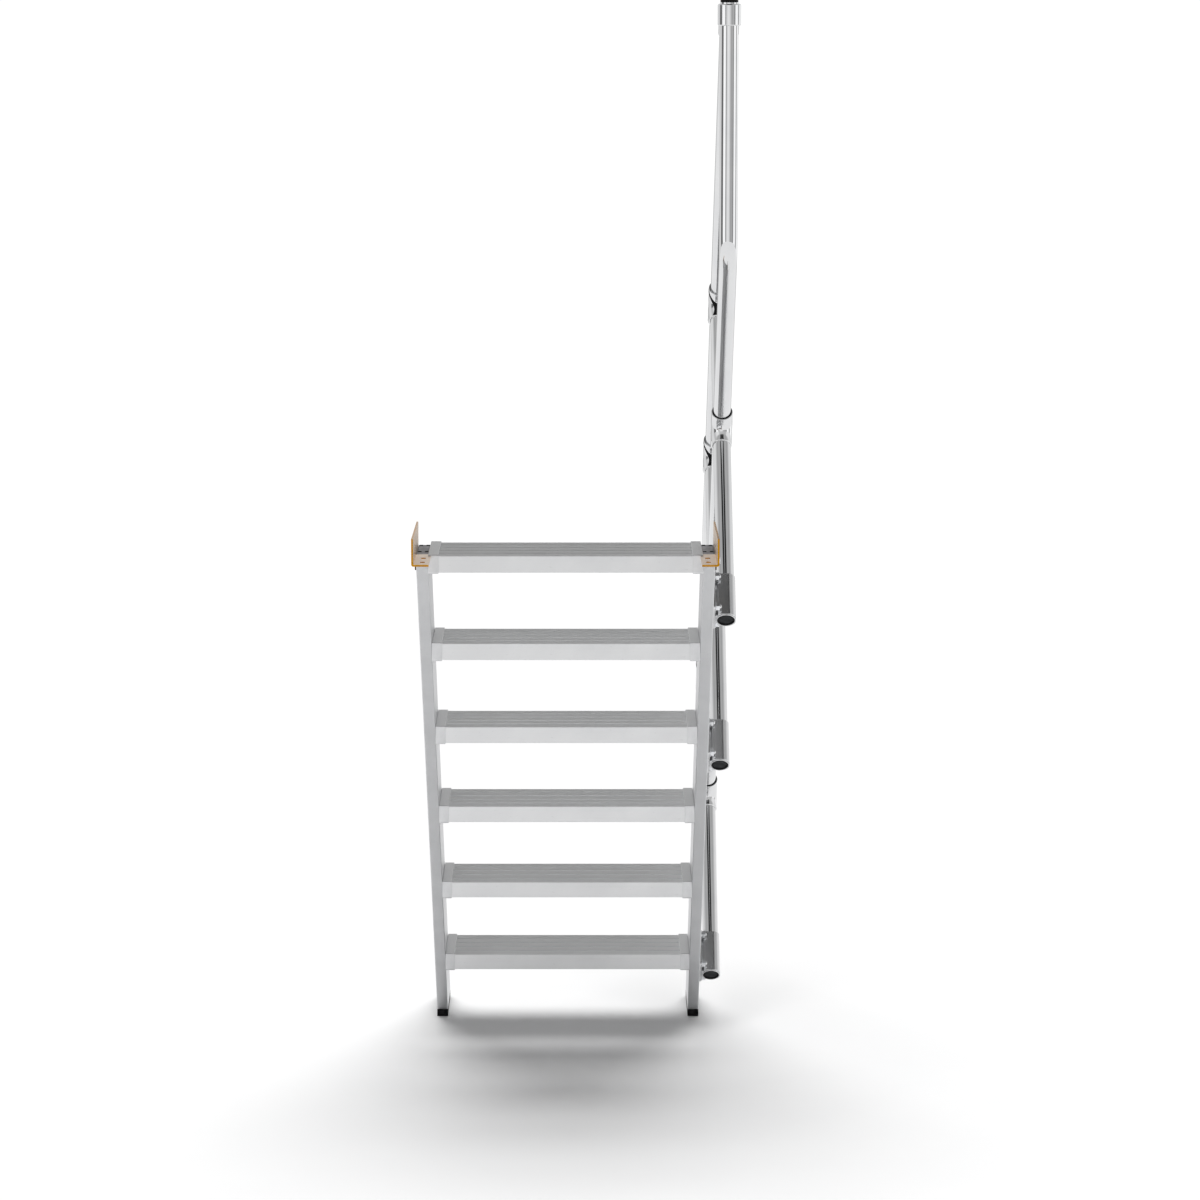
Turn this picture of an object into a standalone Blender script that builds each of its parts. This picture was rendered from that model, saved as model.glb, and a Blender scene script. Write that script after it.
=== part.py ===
"""Fixed 45 degree access stair of aluminium with one tubular handrail.

Frame: +Z up, the treads span X, the stair goes down towards +Y, and the origin is
the centre of the base of the bounding box. Everything is placed in two empties:
"stair", whose own origin is on the floor below the rear edge of the top tread, and
"slope", which lies in the rear plane of the stiles with its Y axis down the slope
and its Z axis square to it.
"""

import math

import bmesh
import bpy
from mathutils import Matrix, Vector

# Driving dimensions, in metres
SLOPE = math.radians(45)
TREAD_COUNT = 6
RISE = 0.230
TOP_HEIGHT = 1.350
CLEAR_WIDTH = 0.600

STILE_THICKNESS = 0.027
STILE_DEPTH = 0.150
STILE_WALL = 0.003
FOOT_HEIGHT = 0.018

TREAD_DEPTH = 0.225
TREAD_HEIGHT = 0.037
TREAD_WALL = 0.0025
TREAD_NOSE_RADIUS = 0.006
TREAD_CHAMBERS = 3
BAND_COUNT = 5
GROOVE_WIDTH = 0.006
GROOVE_DEPTH = 0.002
SHOE_WIDTH = 0.0224
SHOE_PROUD = 0.0025
SHOE_CORNER_RADIUS = 0.005

TUBE_RADIUS = 0.020
TUBE_WALL = 0.002
FITTING_RADIUS = 0.024
BRANCH_RADIUS = 0.0235
FITTING_BORE = 0.0204
RAIL_SOCKET_REACH = 0.060
POST_SOCKET_REACH = 0.052
RAIL_PLANE_X = 0.356
HANDRAIL_ABOVE_NOSING = 1.100
KNEE_RAIL_ABOVE_NOSING = 0.575
POST_STATIONS = {"upper": 0.2615, "middle": 0.8305, "lower": 1.7504}
RAIL_PAST_LOWER_POST = 0.120
BEND_RADIUS = 0.095
END_TUBE_Y = 0.150
CLEAR_OF_POST = 0.004
POST_TOP_CLEARANCE = 0.003

COLLAR_RADIUS = 0.0255
COLLAR_HALF_HEIGHT = 0.0235
COLLAR_STUB_RADIUS = 0.0225
COLLAR_STUB_LENGTH = 0.070
HANDRAIL_START = 0.050
RAIL_CAP_HEIGHT = 0.008
RAIL_CAP_STEM = 0.015
TOP_CAP_RADIUS = 0.0195
TOP_CAP_HEIGHT = 0.010
TUBE_ABOVE_COLLAR = 0.003

SLEEVE_LENGTH = 0.115
SLEEVE_BODY_REACH = 0.012
SLEEVE_FLAT_END = 0.009
SLEEVE_NECK_HALF_WIDTH = 0.014
SLEEVE_PLUG_RECESS = 0.002
SLEEVE_PLUG_THICKNESS = 0.010
POST_ABOVE_PLUG = 0.002
FLANGE_LENGTH = 0.105
FLANGE_HALF_WIDTH = 0.042
FLANGE_THICKNESS = 0.005
SLEEVE_BOLT_SPACING = 0.084
SLEEVE_BOLT_STATION = -0.031

BRACKET_THICKNESS = 0.004
BRACKET_INNER_X = 0.294
BRACKET_REAR_Y = -0.138
BRACKET_FRONT_Y = 0.200
BRACKET_HEIGHT = 0.060
BRACKET_TAPER = 0.006
FLANGE_FRONT_Y = 0.028
TAB_REAR_Y = 0.075
TAB_DEPTH = 0.042
BRACKET_BOLT_Y = 0.100
BRACKET_BOLT_DEPTH = 0.024
SLOT_SIZE = (0.011, 0.018)
SLOT_X = 0.3085
SLOT_STATIONS = (-0.035, -0.098)

BOLT_HEAD_RADIUS = 0.0098
BOLT_HEAD_HEIGHT = 0.0064
WASHER_RADIUS = 0.0105
WASHER_HEIGHT = 0.002

FOOT_CHAMFER = 0.004
PLUG_THICKNESS = 0.003
PLUG_SPIGOT_DEPTH = 0.018
FOOT_SPIGOT_HEIGHT = 0.020

GAP = 0.0003
OVERCUT = 0.020
SIDES = 24

# Derived places
INNER_X = CLEAR_WIDTH / 2
OUTER_X = INNER_X + STILE_THICKNESS
RUN = RISE / math.tan(SLOPE)
NOSING_OFFSET = TREAD_DEPTH * math.sin(SLOPE)
HANDRAIL_OFFSET = NOSING_OFFSET + HANDRAIL_ABOVE_NOSING * math.cos(SLOPE)
KNEE_RAIL_OFFSET = NOSING_OFFSET + KNEE_RAIL_ABOVE_NOSING * math.cos(SLOPE)
SLEEVE_LOW = (STILE_DEPTH - SLEEVE_LENGTH) / 2
SLEEVE_HIGH = SLEEVE_LOW + SLEEVE_LENGTH
RAIL_END_STATION = POST_STATIONS["lower"] + RAIL_PAST_LOWER_POST
STILE_TOP = TOP_HEIGHT - BRACKET_THICKNESS - GAP
STILE_CUT_LENGTH = STILE_DEPTH / math.sin(SLOPE)

# The bounding box of everything, which sets where the stair stands in the frame
BOX_X = (
    -(OUTER_X + GAP + BRACKET_THICKNESS + GAP + WASHER_HEIGHT + BOLT_HEAD_HEIGHT),
    RAIL_PLANE_X + COLLAR_RADIUS,
)
BOX_Y = (
    BRACKET_REAR_Y,
    (HANDRAIL_OFFSET + TUBE_RADIUS) * math.sin(SLOPE)
    + (RAIL_END_STATION + GAP + RAIL_CAP_HEIGHT) * math.cos(SLOPE),
)

# Materials: colour, metallic, roughness
FINISHES = {
    "aluminium": ((0.62, 0.63, 0.64), 1.0, 0.38),
    "cast_aluminium": ((0.66, 0.67, 0.68), 1.0, 0.45),
    "polished_tube": ((0.80, 0.81, 0.81), 1.0, 0.12),
    "yellow_zinc": ((0.62, 0.46, 0.20), 1.0, 0.35),
    "zinc_bolt": ((0.72, 0.73, 0.75), 1.0, 0.25),
    "grey_plastic": ((0.10, 0.10, 0.105), 0.0, 0.55),
    "black_plastic": ((0.015, 0.015, 0.016), 0.0, 0.45),
}


def clear_scene():
    for obj in list(bpy.data.objects):
        bpy.data.objects.remove(obj, do_unlink=True)


def finish(name):
    colour, metallic, roughness = FINISHES[name]
    material = bpy.data.materials.new(name)
    material.use_nodes = True
    shader = material.node_tree.nodes["Principled BSDF"]
    shader.inputs["Base Color"].default_value = (*colour, 1.0)
    shader.inputs["Metallic"].default_value = metallic
    shader.inputs["Roughness"].default_value = roughness
    material.diffuse_color = (*colour, 1.0)
    return material


clear_scene()
PARTS = bpy.data.collections.new("access_stair")
CUTTERS = bpy.data.collections.new("cutters")
bpy.context.scene.collection.children.link(PARTS)
bpy.context.scene.collection.children.link(CUTTERS)
MATERIALS = {name: finish(name) for name in FINISHES}


def empty(name, parent=None, location=(0, 0, 0), tilt=0.0):
    obj = bpy.data.objects.new(name, None)
    PARTS.objects.link(obj)
    obj.parent = parent
    obj.location = location
    obj.rotation_euler.x = tilt
    return obj


STAIR = empty(
    "stair", location=(-(BOX_X[0] + BOX_X[1]) / 2, -(BOX_Y[0] + BOX_Y[1]) / 2, 0)
)
SLOPE_FRAME = empty("slope", STAIR, (0, 0, TOP_HEIGHT), -SLOPE)


def place(obj, parent, location=(0, 0, 0), rotation=(0, 0, 0)):
    obj.parent = parent
    obj.location = location
    obj.rotation_euler = rotation
    return obj


def part(name, mesh, material, parent, location=(0, 0, 0), rotation=(0, 0, 0)):
    obj = bpy.data.objects.new(name, mesh)
    PARTS.objects.link(obj)
    obj.data.materials.append(MATERIALS[material])
    return place(obj, parent, location, rotation)


def smooth_round(mesh):
    mesh.shade_smooth()
    mesh.set_sharp_from_angle(angle=math.radians(30))


def cylinder_mesh(name, radius, low, high, sides=SIDES):
    """A round bar along Z from low to high."""
    mesh = bpy.data.meshes.new(name)
    shape = bmesh.new()
    bmesh.ops.create_cone(
        shape,
        cap_ends=True,
        segments=sides,
        radius1=radius,
        radius2=radius,
        depth=high - low,
        matrix=Matrix.Translation((0, 0, (low + high) / 2)),
    )
    shape.to_mesh(mesh)
    shape.free()
    smooth_round(mesh)
    return mesh


def box_mesh(name, low, high):
    """A box between two opposite corners."""
    low, high = Vector(low), Vector(high)
    size = high - low
    mesh = bpy.data.meshes.new(name)
    shape = bmesh.new()
    bmesh.ops.create_cube(
        shape,
        size=1.0,
        matrix=Matrix.Translation((low + high) / 2) @ Matrix.Diagonal((*size, 1.0)),
    )
    shape.to_mesh(mesh)
    shape.free()
    return mesh


def outline_curve(name, outlines, thickness):
    """A flat curve in its own XY plane, filled between its outlines and half the thickness each way."""
    curve = bpy.data.curves.new(name, "CURVE")
    curve.dimensions = "2D"
    curve.fill_mode = "BOTH"
    curve.extrude = thickness / 2
    for points in outlines:
        spline = curve.splines.new("POLY")
        spline.points.add(len(points) - 1)
        for point, (x, y) in zip(spline.points, points):
            point.co = (x, y, 0, 1)
        spline.use_cyclic_u = True
    return curve


def mesh_of(curve):
    """The closed mesh that a curve evaluates to, with the seams of its caps welded."""
    obj = bpy.data.objects.new(curve.name, curve)
    CUTTERS.objects.link(obj)
    bpy.context.view_layer.update()
    graph = bpy.context.evaluated_depsgraph_get()
    mesh = bpy.data.meshes.new_from_object(obj.evaluated_get(graph))
    bpy.data.objects.remove(obj, do_unlink=True)
    shape = bmesh.new()
    shape.from_mesh(mesh)
    bmesh.ops.remove_doubles(shape, verts=shape.verts, dist=1e-6)
    bmesh.ops.recalc_face_normals(shape, faces=shape.faces)
    shape.to_mesh(mesh)
    shape.free()
    return mesh


# Turns a flat outline so that its x and y become the stair's Y and Z, and its thickness lies along X
SIDEWAYS = Matrix(((0, 0, 1, 0), (1, 0, 0, 0), (0, 1, 0, 0), (0, 0, 0, 1)))


def side_profile(name, outlines, thickness):
    mesh = mesh_of(outline_curve(name, outlines, thickness))
    mesh.transform(SIDEWAYS)
    return mesh


def flat_plate(name, outlines, thickness):
    return mesh_of(outline_curve(name, outlines, thickness))


def modify(mesh, operation, others):
    """The mesh after Booleans with the other meshes, all in the same coordinates."""
    obj = bpy.data.objects.new(mesh.name, mesh)
    CUTTERS.objects.link(obj)
    helpers = []
    for other in others:
        helper = bpy.data.objects.new(mesh.name + "_cutter", other)
        CUTTERS.objects.link(helper)
        helper.hide_render = True
        helper.display_type = "WIRE"
        boolean = obj.modifiers.new("boolean", "BOOLEAN")
        boolean.operation = operation
        boolean.object = helper
        helpers.append(helper)
    bpy.context.view_layer.update()
    graph = bpy.context.evaluated_depsgraph_get()
    result = bpy.data.meshes.new_from_object(obj.evaluated_get(graph))
    result.name = mesh.name
    for used in [obj, *helpers]:
        bpy.data.objects.remove(used, do_unlink=True)
    smooth_round(result)
    return result


def turned(mesh, axis_matrix):
    mesh.transform(axis_matrix)
    return mesh


ALONG_Y = Matrix.Rotation(-math.pi / 2, 4, "X")
ALONG_X = Matrix.Rotation(math.pi / 2, 4, "Y")


def rounded_rectangle(x0, x1, y0, y1, radius, steps=3):
    """The corner points of a rectangle with round corners, anticlockwise."""
    points = []
    corners = ((x1, y0, -90), (x1, y1, 0), (x0, y1, 90), (x0, y0, 180))
    for x, y, start in corners:
        centre_x = x - radius if x == x1 else x + radius
        centre_y = y - radius if y == y1 else y + radius
        for step in range(steps + 1):
            angle = math.radians(start + 90 * step / steps)
            points.append(
                (centre_x + radius * math.cos(angle), centre_y + radius * math.sin(angle))
            )
    return points


def sloping_outline(rear_inset, front_inset, low, high):
    """A band of the stile seen from the side, cut level at its low and high ends."""
    rear = rear_inset / math.sin(SLOPE)
    front = STILE_CUT_LENGTH - front_inset / math.sin(SLOPE)
    return [
        (TOP_HEIGHT - low + rear, low),
        (TOP_HEIGHT - low + front, low),
        (TOP_HEIGHT - high + front, high),
        (TOP_HEIGHT - high + rear, high),
    ]


def side_sign(side):
    return -1 if side == "left" else 1


def stile(side):
    top = STILE_TOP - PLUG_THICKNESS - GAP
    low = FOOT_HEIGHT + GAP
    body = side_profile("stile", [sloping_outline(0, 0, low, top)], STILE_THICKNESS)
    lumen = side_profile(
        "lumen",
        [sloping_outline(STILE_WALL, STILE_WALL, low - OVERCUT, top + OVERCUT)],
        STILE_THICKNESS - 2 * STILE_WALL,
    )
    centre = side_sign(side) * (INNER_X + STILE_THICKNESS / 2)
    part(
        f"stile_{side}",
        modify(body, "DIFFERENCE", [lumen]),
        "aluminium",
        STAIR,
        (centre, 0, 0),
    )


def stile_top_plug(side):
    """A plastic cover on the level top cut, with a spigot that goes down into the stile."""
    top = STILE_TOP
    plate = side_profile(
        "plug", [sloping_outline(0, 0, top - PLUG_THICKNESS, top)], STILE_THICKNESS
    )
    inset = STILE_WALL + GAP
    spigot = side_profile(
        "spigot",
        [sloping_outline(inset, inset, top - PLUG_SPIGOT_DEPTH, top - PLUG_THICKNESS / 2)],
        STILE_THICKNESS - 2 * inset,
    )
    centre = side_sign(side) * (INNER_X + STILE_THICKNESS / 2)
    part(
        f"stile_top_plug_{side}",
        modify(plate, "UNION", [spigot]),
        "grey_plastic",
        STAIR,
        (centre, 0, 0),
    )


def foot(side):
    """A plastic block under the stile, chamfered below, with a spigot that goes up into it."""
    rear = TOP_HEIGHT - FOOT_HEIGHT
    front = rear + STILE_CUT_LENGTH
    outline = [
        (rear + FOOT_CHAMFER, 0),
        (front - FOOT_CHAMFER, 0),
        (front, FOOT_CHAMFER),
        (front, FOOT_HEIGHT),
        (rear, FOOT_HEIGHT),
        (rear, FOOT_CHAMFER),
    ]
    block = side_profile("foot", [outline], STILE_THICKNESS)
    inset = STILE_WALL + GAP
    spigot = side_profile(
        "spigot",
        [sloping_outline(inset, inset, FOOT_HEIGHT / 2, FOOT_HEIGHT + FOOT_SPIGOT_HEIGHT)],
        STILE_THICKNESS - 2 * inset,
    )
    centre = side_sign(side) * (INNER_X + STILE_THICKNESS / 2)
    part(
        f"foot_{side}",
        modify(block, "UNION", [spigot]),
        "black_plastic",
        STAIR,
        (centre, 0, 0),
    )


def tread_outlines():
    """The section of a tread in its grooved bands and its long hollows, from its rear top edge."""
    pitch = TREAD_DEPTH / BAND_COUNT
    half_groove = GROOVE_WIDTH / 2
    half_floor = half_groove * 0.6
    outer = [(0, -TREAD_HEIGHT), (0, 0)]
    for groove in range(1, BAND_COUNT):
        middle = groove * pitch
        outer += [
            (middle - half_groove, 0),
            (middle - half_floor, -GROOVE_DEPTH),
            (middle + half_floor, -GROOVE_DEPTH),
            (middle + half_groove, 0),
        ]
    nose_y = TREAD_DEPTH - TREAD_NOSE_RADIUS
    for degrees in (90, 60, 30, 0):
        angle = math.radians(degrees)
        across = TREAD_NOSE_RADIUS * math.cos(angle)
        up = TREAD_NOSE_RADIUS * math.sin(angle)
        outer.append((nose_y + across, up - TREAD_NOSE_RADIUS))
    outer.append((TREAD_DEPTH, -TREAD_HEIGHT))
    outer.reverse()
    hollow_top = -GROOVE_DEPTH - TREAD_WALL
    hollow_low = -TREAD_HEIGHT + TREAD_WALL
    walls = TREAD_CHAMBERS + 1
    width = (TREAD_DEPTH - walls * TREAD_WALL) / TREAD_CHAMBERS
    hollows = []
    for index in range(TREAD_CHAMBERS):
        start = TREAD_WALL + index * (width + TREAD_WALL)
        hollows.append(
            [
                (start, hollow_low),
                (start + width, hollow_low),
                (start + width, hollow_top),
                (start, hollow_top),
            ]
        )
    return [outer, *hollows]


def treads():
    length = CLEAR_WIDTH - 2 * (SHOE_WIDTH + 2 * GAP)
    plank = side_profile("tread", tread_outlines(), length)
    end = side_profile(
        "shoe",
        [
            rounded_rectangle(
                -SHOE_PROUD,
                TREAD_DEPTH + SHOE_PROUD,
                -TREAD_HEIGHT - SHOE_PROUD,
                SHOE_PROUD,
                SHOE_CORNER_RADIUS,
            )
        ],
        SHOE_WIDTH,
    )
    for index in range(TREAD_COUNT):
        rear_edge = (0, index * RUN, TOP_HEIGHT - index * RISE)
        part(f"tread_{index + 1}", plank, "aluminium", STAIR, rear_edge)
        for side in ("left", "right"):
            x = side_sign(side) * (INNER_X - GAP - SHOE_WIDTH / 2)
            location = (x, rear_edge[1], rear_edge[2])
            name = f"tread_{index + 1}_shoe_{side}"
            part(name, end, "cast_aluminium", STAIR, location)


def bolt_mesh():
    """A hexagon head on its washer, standing along +X from zero."""
    washer = cylinder_mesh("bolt", WASHER_RADIUS, 0, WASHER_HEIGHT, 24)
    head = cylinder_mesh(
        "head",
        BOLT_HEAD_RADIUS,
        WASHER_HEIGHT / 2,
        WASHER_HEIGHT + BOLT_HEAD_HEIGHT,
        6,
    )
    return turned(modify(washer, "UNION", [head]), ALONG_X)


def slot_outline(x, y):
    width, length = SLOT_SIZE
    radius = width / 2 - GAP / 2
    return rounded_rectangle(
        x - width / 2, x + width / 2, y - length / 2, y + length / 2, radius, 4
    )


def bracket(side, bolt):
    """A steel angle: a level flange on the upper floor and a side plate on the stile's outer face."""
    sign = side_sign(side)
    plate_low = TOP_HEIGHT - BRACKET_THICKNESS
    plate_inner = OUTER_X + GAP
    plate_centre = plate_inner + BRACKET_THICKNESS / 2
    plate_outer = plate_inner + BRACKET_THICKNESS
    tab_low = TOP_HEIGHT - TAB_DEPTH
    plate_top = plate_low + BRACKET_HEIGHT
    upright = side_profile(
        "bracket",
        [
            [
                (BRACKET_REAR_Y, plate_low),
                (TAB_REAR_Y, plate_low),
                (TAB_REAR_Y, tab_low),
                (BRACKET_FRONT_Y, tab_low),
                (BRACKET_FRONT_Y, plate_top - BRACKET_TAPER),
                (BRACKET_REAR_Y, plate_top),
            ]
        ],
        BRACKET_THICKNESS,
    )
    upright.transform(Matrix.Translation((sign * plate_centre, 0, 0)))
    # The flange is notched where it passes the top tread's shoe
    notch_y = -SHOE_PROUD - GAP
    outer = plate_outer - BRACKET_THICKNESS / 2
    outline = [
        (sign * BRACKET_INNER_X, BRACKET_REAR_Y),
        (sign * outer, BRACKET_REAR_Y),
        (sign * outer, FLANGE_FRONT_Y),
        (sign * (INNER_X + GAP), FLANGE_FRONT_Y),
        (sign * (INNER_X + GAP), notch_y),
        (sign * BRACKET_INNER_X, notch_y),
    ]
    slots = [slot_outline(sign * SLOT_X, y) for y in SLOT_STATIONS]
    flange = flat_plate("flange", [outline, *slots], BRACKET_THICKNESS)
    middle = plate_low + BRACKET_THICKNESS / 2
    flange.transform(Matrix.Translation((0, 0, middle)))
    part(f"bracket_{side}", modify(upright, "UNION", [flange]), "yellow_zinc", STAIR)
    turn = 0 if sign > 0 else math.pi
    seat = (sign * (plate_outer + GAP), BRACKET_BOLT_Y, TOP_HEIGHT - BRACKET_BOLT_DEPTH)
    part(f"bracket_bolt_{side}", bolt, "zinc_bolt", STAIR, seat, (0, 0, turn))


def tube(name, points, parent):
    """A hollow tube along straight runs given by their points, closed by nothing."""
    curve = bpy.data.curves.new(name, "CURVE")
    curve.dimensions = "3D"
    curve.twist_mode = "MINIMUM"
    curve.bevel_depth = TUBE_RADIUS
    curve.bevel_resolution = SIDES // 2 - 2
    curve.use_fill_caps = False
    spline = curve.splines.new("POLY")
    spline.points.add(len(points) - 1)
    for point, (x, y, z) in zip(spline.points, points):
        point.co = (x, y, z, 1)
    obj = bpy.data.objects.new(name, curve)
    PARTS.objects.link(obj)
    curve.materials.append(MATERIALS["polished_tube"])
    wall = obj.modifiers.new("wall", "SOLIDIFY")
    wall.thickness = TUBE_WALL
    wall.offset = -1
    wall.use_even_offset = True
    wall.use_rim = True
    return place(obj, parent)


def fitting(name, solids, bores, location):
    """A hollow pipe fitting: the union of its solids less its bores, all in the slope's axes."""
    body = modify(solids[0], "UNION", solids[1:])
    body.name = name
    cut = modify(body, "DIFFERENCE", bores)
    part(name, cut, "polished_tube", SLOPE_FRAME, location)


def post_sleeve(name, station, bolt):
    """The extruded foot of a post: a flat-faced sleeve on a flange, bolted to the stile."""
    flange_inner = OUTER_X + GAP - RAIL_PLANE_X
    flange_outer = flange_inner + FLANGE_THICKNESS
    middle = SLEEVE_LOW + SLEEVE_LENGTH / 2
    half = FLANGE_LENGTH / 2
    ring = cylinder_mesh("ring", FITTING_RADIUS, SLEEVE_LOW, SLEEVE_HIGH)
    corner = FITTING_RADIUS * math.sin(math.acos(SLEEVE_FLAT_END / FITTING_RADIUS))
    outline = [
        (-SLEEVE_BODY_REACH, -FITTING_RADIUS + GAP),
        (0, -FITTING_RADIUS + GAP),
        (SLEEVE_FLAT_END, -corner),
        (SLEEVE_FLAT_END, corner),
        (0, FITTING_RADIUS - GAP),
        (-SLEEVE_BODY_REACH, FITTING_RADIUS - GAP),
    ]
    body = flat_plate("body", [outline], 2 * half)
    body.transform(Matrix.Translation((0, 0, middle)))
    flange = box_mesh(
        "flange",
        (flange_inner, -FLANGE_HALF_WIDTH, middle - half),
        (flange_outer, FLANGE_HALF_WIDTH, middle + half),
    )
    neck = box_mesh(
        "neck",
        (flange_outer - GAP, -SLEEVE_NECK_HALF_WIDTH, middle - half + GAP),
        (-SLEEVE_BODY_REACH + GAP, SLEEVE_NECK_HALF_WIDTH, middle + half - GAP),
    )
    low, high = SLEEVE_LOW - OVERCUT, SLEEVE_HIGH + OVERCUT
    bore = cylinder_mesh("bore", FITTING_BORE, low, high)
    place_at = (RAIL_PLANE_X, station, 0)
    fitting(f"post_sleeve_{name}", [ring, body, flange, neck], [bore], place_at)
    plug_low = SLEEVE_LOW + SLEEVE_PLUG_RECESS
    plug = cylinder_mesh("plug", TUBE_RADIUS, plug_low, plug_low + SLEEVE_PLUG_THICKNESS)
    part(f"sleeve_plug_{name}", plug, "grey_plastic", SLOPE_FRAME, place_at)
    for word, way in (("low", -1), ("high", 1)):
        height = middle + way * SLEEVE_BOLT_SPACING / 2
        x = OUTER_X + GAP + FLANGE_THICKNESS + GAP
        seat = (x, station + SLEEVE_BOLT_STATION, height)
        part(f"sleeve_bolt_{name}_{word}", bolt, "zinc_bolt", SLOPE_FRAME, seat)


def rail_socket():
    """The part of a fitting round a rail, as a bar and its bore along the slope."""
    reach = RAIL_SOCKET_REACH
    bar = turned(cylinder_mesh("along", FITTING_RADIUS, -reach, reach), ALONG_Y)
    longer = reach + OVERCUT
    bore = turned(cylinder_mesh("bore", FITTING_BORE, -longer, longer), ALONG_Y)
    return bar, bore


def knee_fitting(name, station):
    """A cross that holds the knee rail's ends on either side of a post."""
    bar, rail_bore = rail_socket()
    reach = POST_SOCKET_REACH
    upright = cylinder_mesh("upright", BRANCH_RADIUS, -reach, reach)
    longer = reach + OVERCUT
    post_bore = cylinder_mesh("bore", FITTING_BORE + GAP / 3, -longer, longer)
    place_at = (RAIL_PLANE_X, station, KNEE_RAIL_OFFSET)
    fitting(f"knee_fitting_{name}", [bar, upright], [rail_bore, post_bore], place_at)


def handrail_tee(name, station):
    """A tee that clasps the handrail and takes the top of a post from below."""
    bar, rail_bore = rail_socket()
    reach = POST_SOCKET_REACH
    branch = cylinder_mesh("branch", BRANCH_RADIUS, -reach, 0)
    post_bore = cylinder_mesh("bore", FITTING_BORE + GAP / 3, -reach - OVERCUT, 0)
    place_at = (RAIL_PLANE_X, station, HANDRAIL_OFFSET)
    fitting(f"handrail_tee_{name}", [bar, branch], [rail_bore, post_bore], place_at)


def posts(bolt):
    top = HANDRAIL_OFFSET - FITTING_BORE - POST_TOP_CLEARANCE
    plug_top = SLEEVE_LOW + SLEEVE_PLUG_RECESS + SLEEVE_PLUG_THICKNESS
    low = plug_top + POST_ABOVE_PLUG
    for name, station in POST_STATIONS.items():
        at = (RAIL_PLANE_X, station)
        tube(f"post_{name}", [(*at, low), (*at, top)], SLOPE_FRAME)
        post_sleeve(name, station, bolt)
        knee_fitting(name, station)
        handrail_tee(name, station)


def on_slope(station, offset):
    """A point of the rail plane in the stair's axes, from its place in the slope's axes."""
    return Vector(
        (
            RAIL_PLANE_X,
            station * math.cos(SLOPE) + offset * math.sin(SLOPE),
            TOP_HEIGHT - station * math.sin(SLOPE) + offset * math.cos(SLOPE),
        )
    )


def end_tube_points(top):
    """The knee rail's upper run, its round bend at the end and the upright that carries the handrail."""
    first = POST_STATIONS["upper"] - TUBE_RADIUS - CLEAR_OF_POST
    start = on_slope(first, KNEE_RAIL_OFFSET)
    corner_z = TOP_HEIGHT + KNEE_RAIL_OFFSET / math.cos(SLOPE) - END_TUBE_Y
    corner = Vector((RAIL_PLANE_X, END_TUBE_Y, corner_z))
    turn = math.pi / 2 - SLOPE
    tangent = BEND_RADIUS * math.tan(turn / 2)
    centre = corner + Vector((0, BEND_RADIUS, tangent))
    steps = 8
    bend = []
    for step in range(steps + 1):
        angle = math.pi + turn * (1 - step / steps)
        offset = Vector((0, math.cos(angle), math.sin(angle))) * BEND_RADIUS
        bend.append(centre + offset)
    return [start, *bend, Vector((RAIL_PLANE_X, END_TUBE_Y, top))]


def rails():
    collar_z = TOP_HEIGHT + HANDRAIL_OFFSET / math.cos(SLOPE) - END_TUBE_Y
    tube_top = collar_z + COLLAR_HALF_HEIGHT + TUBE_ABOVE_COLLAR
    clear = TUBE_RADIUS + CLEAR_OF_POST
    upper, middle, lower = POST_STATIONS.values()
    x = RAIL_PLANE_X
    tube("knee_rail_upper", end_tube_points(tube_top), STAIR)
    for name, start, end in (
        ("middle", upper + clear, middle - clear),
        ("lower", middle + clear, lower - clear),
        ("end", lower + clear, RAIL_END_STATION),
    ):
        run = [(x, start, KNEE_RAIL_OFFSET), (x, end, KNEE_RAIL_OFFSET)]
        tube(f"knee_rail_{name}", run, SLOPE_FRAME)
    collar_station = (END_TUBE_Y - HANDRAIL_OFFSET * math.sin(SLOPE)) / math.cos(SLOPE)
    start = collar_station + HANDRAIL_START
    run = [(x, start, HANDRAIL_OFFSET), (x, RAIL_END_STATION, HANDRAIL_OFFSET)]
    tube("handrail", run, SLOPE_FRAME)
    rail_end_caps()
    top_collar(collar_z)
    cap = cylinder_mesh("cap", TOP_CAP_RADIUS, 0, TOP_CAP_HEIGHT)
    part("top_cap", cap, "black_plastic", STAIR, (x, END_TUBE_Y, tube_top + GAP))


def rail_end_caps():
    offsets = {"handrail": HANDRAIL_OFFSET, "knee_rail": KNEE_RAIL_OFFSET}
    for name, offset in offsets.items():
        disc = cylinder_mesh("disc", TUBE_RADIUS, 0, RAIL_CAP_HEIGHT)
        stem_radius = TUBE_RADIUS - TUBE_WALL - GAP
        stem = cylinder_mesh("stem", stem_radius, -RAIL_CAP_STEM, RAIL_CAP_HEIGHT / 2)
        cap = turned(modify(disc, "UNION", [stem]), ALONG_Y)
        seat = (RAIL_PLANE_X, RAIL_END_STATION + GAP, offset)
        part(f"{name}_end_cap", cap, "black_plastic", SLOPE_FRAME, seat)


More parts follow.
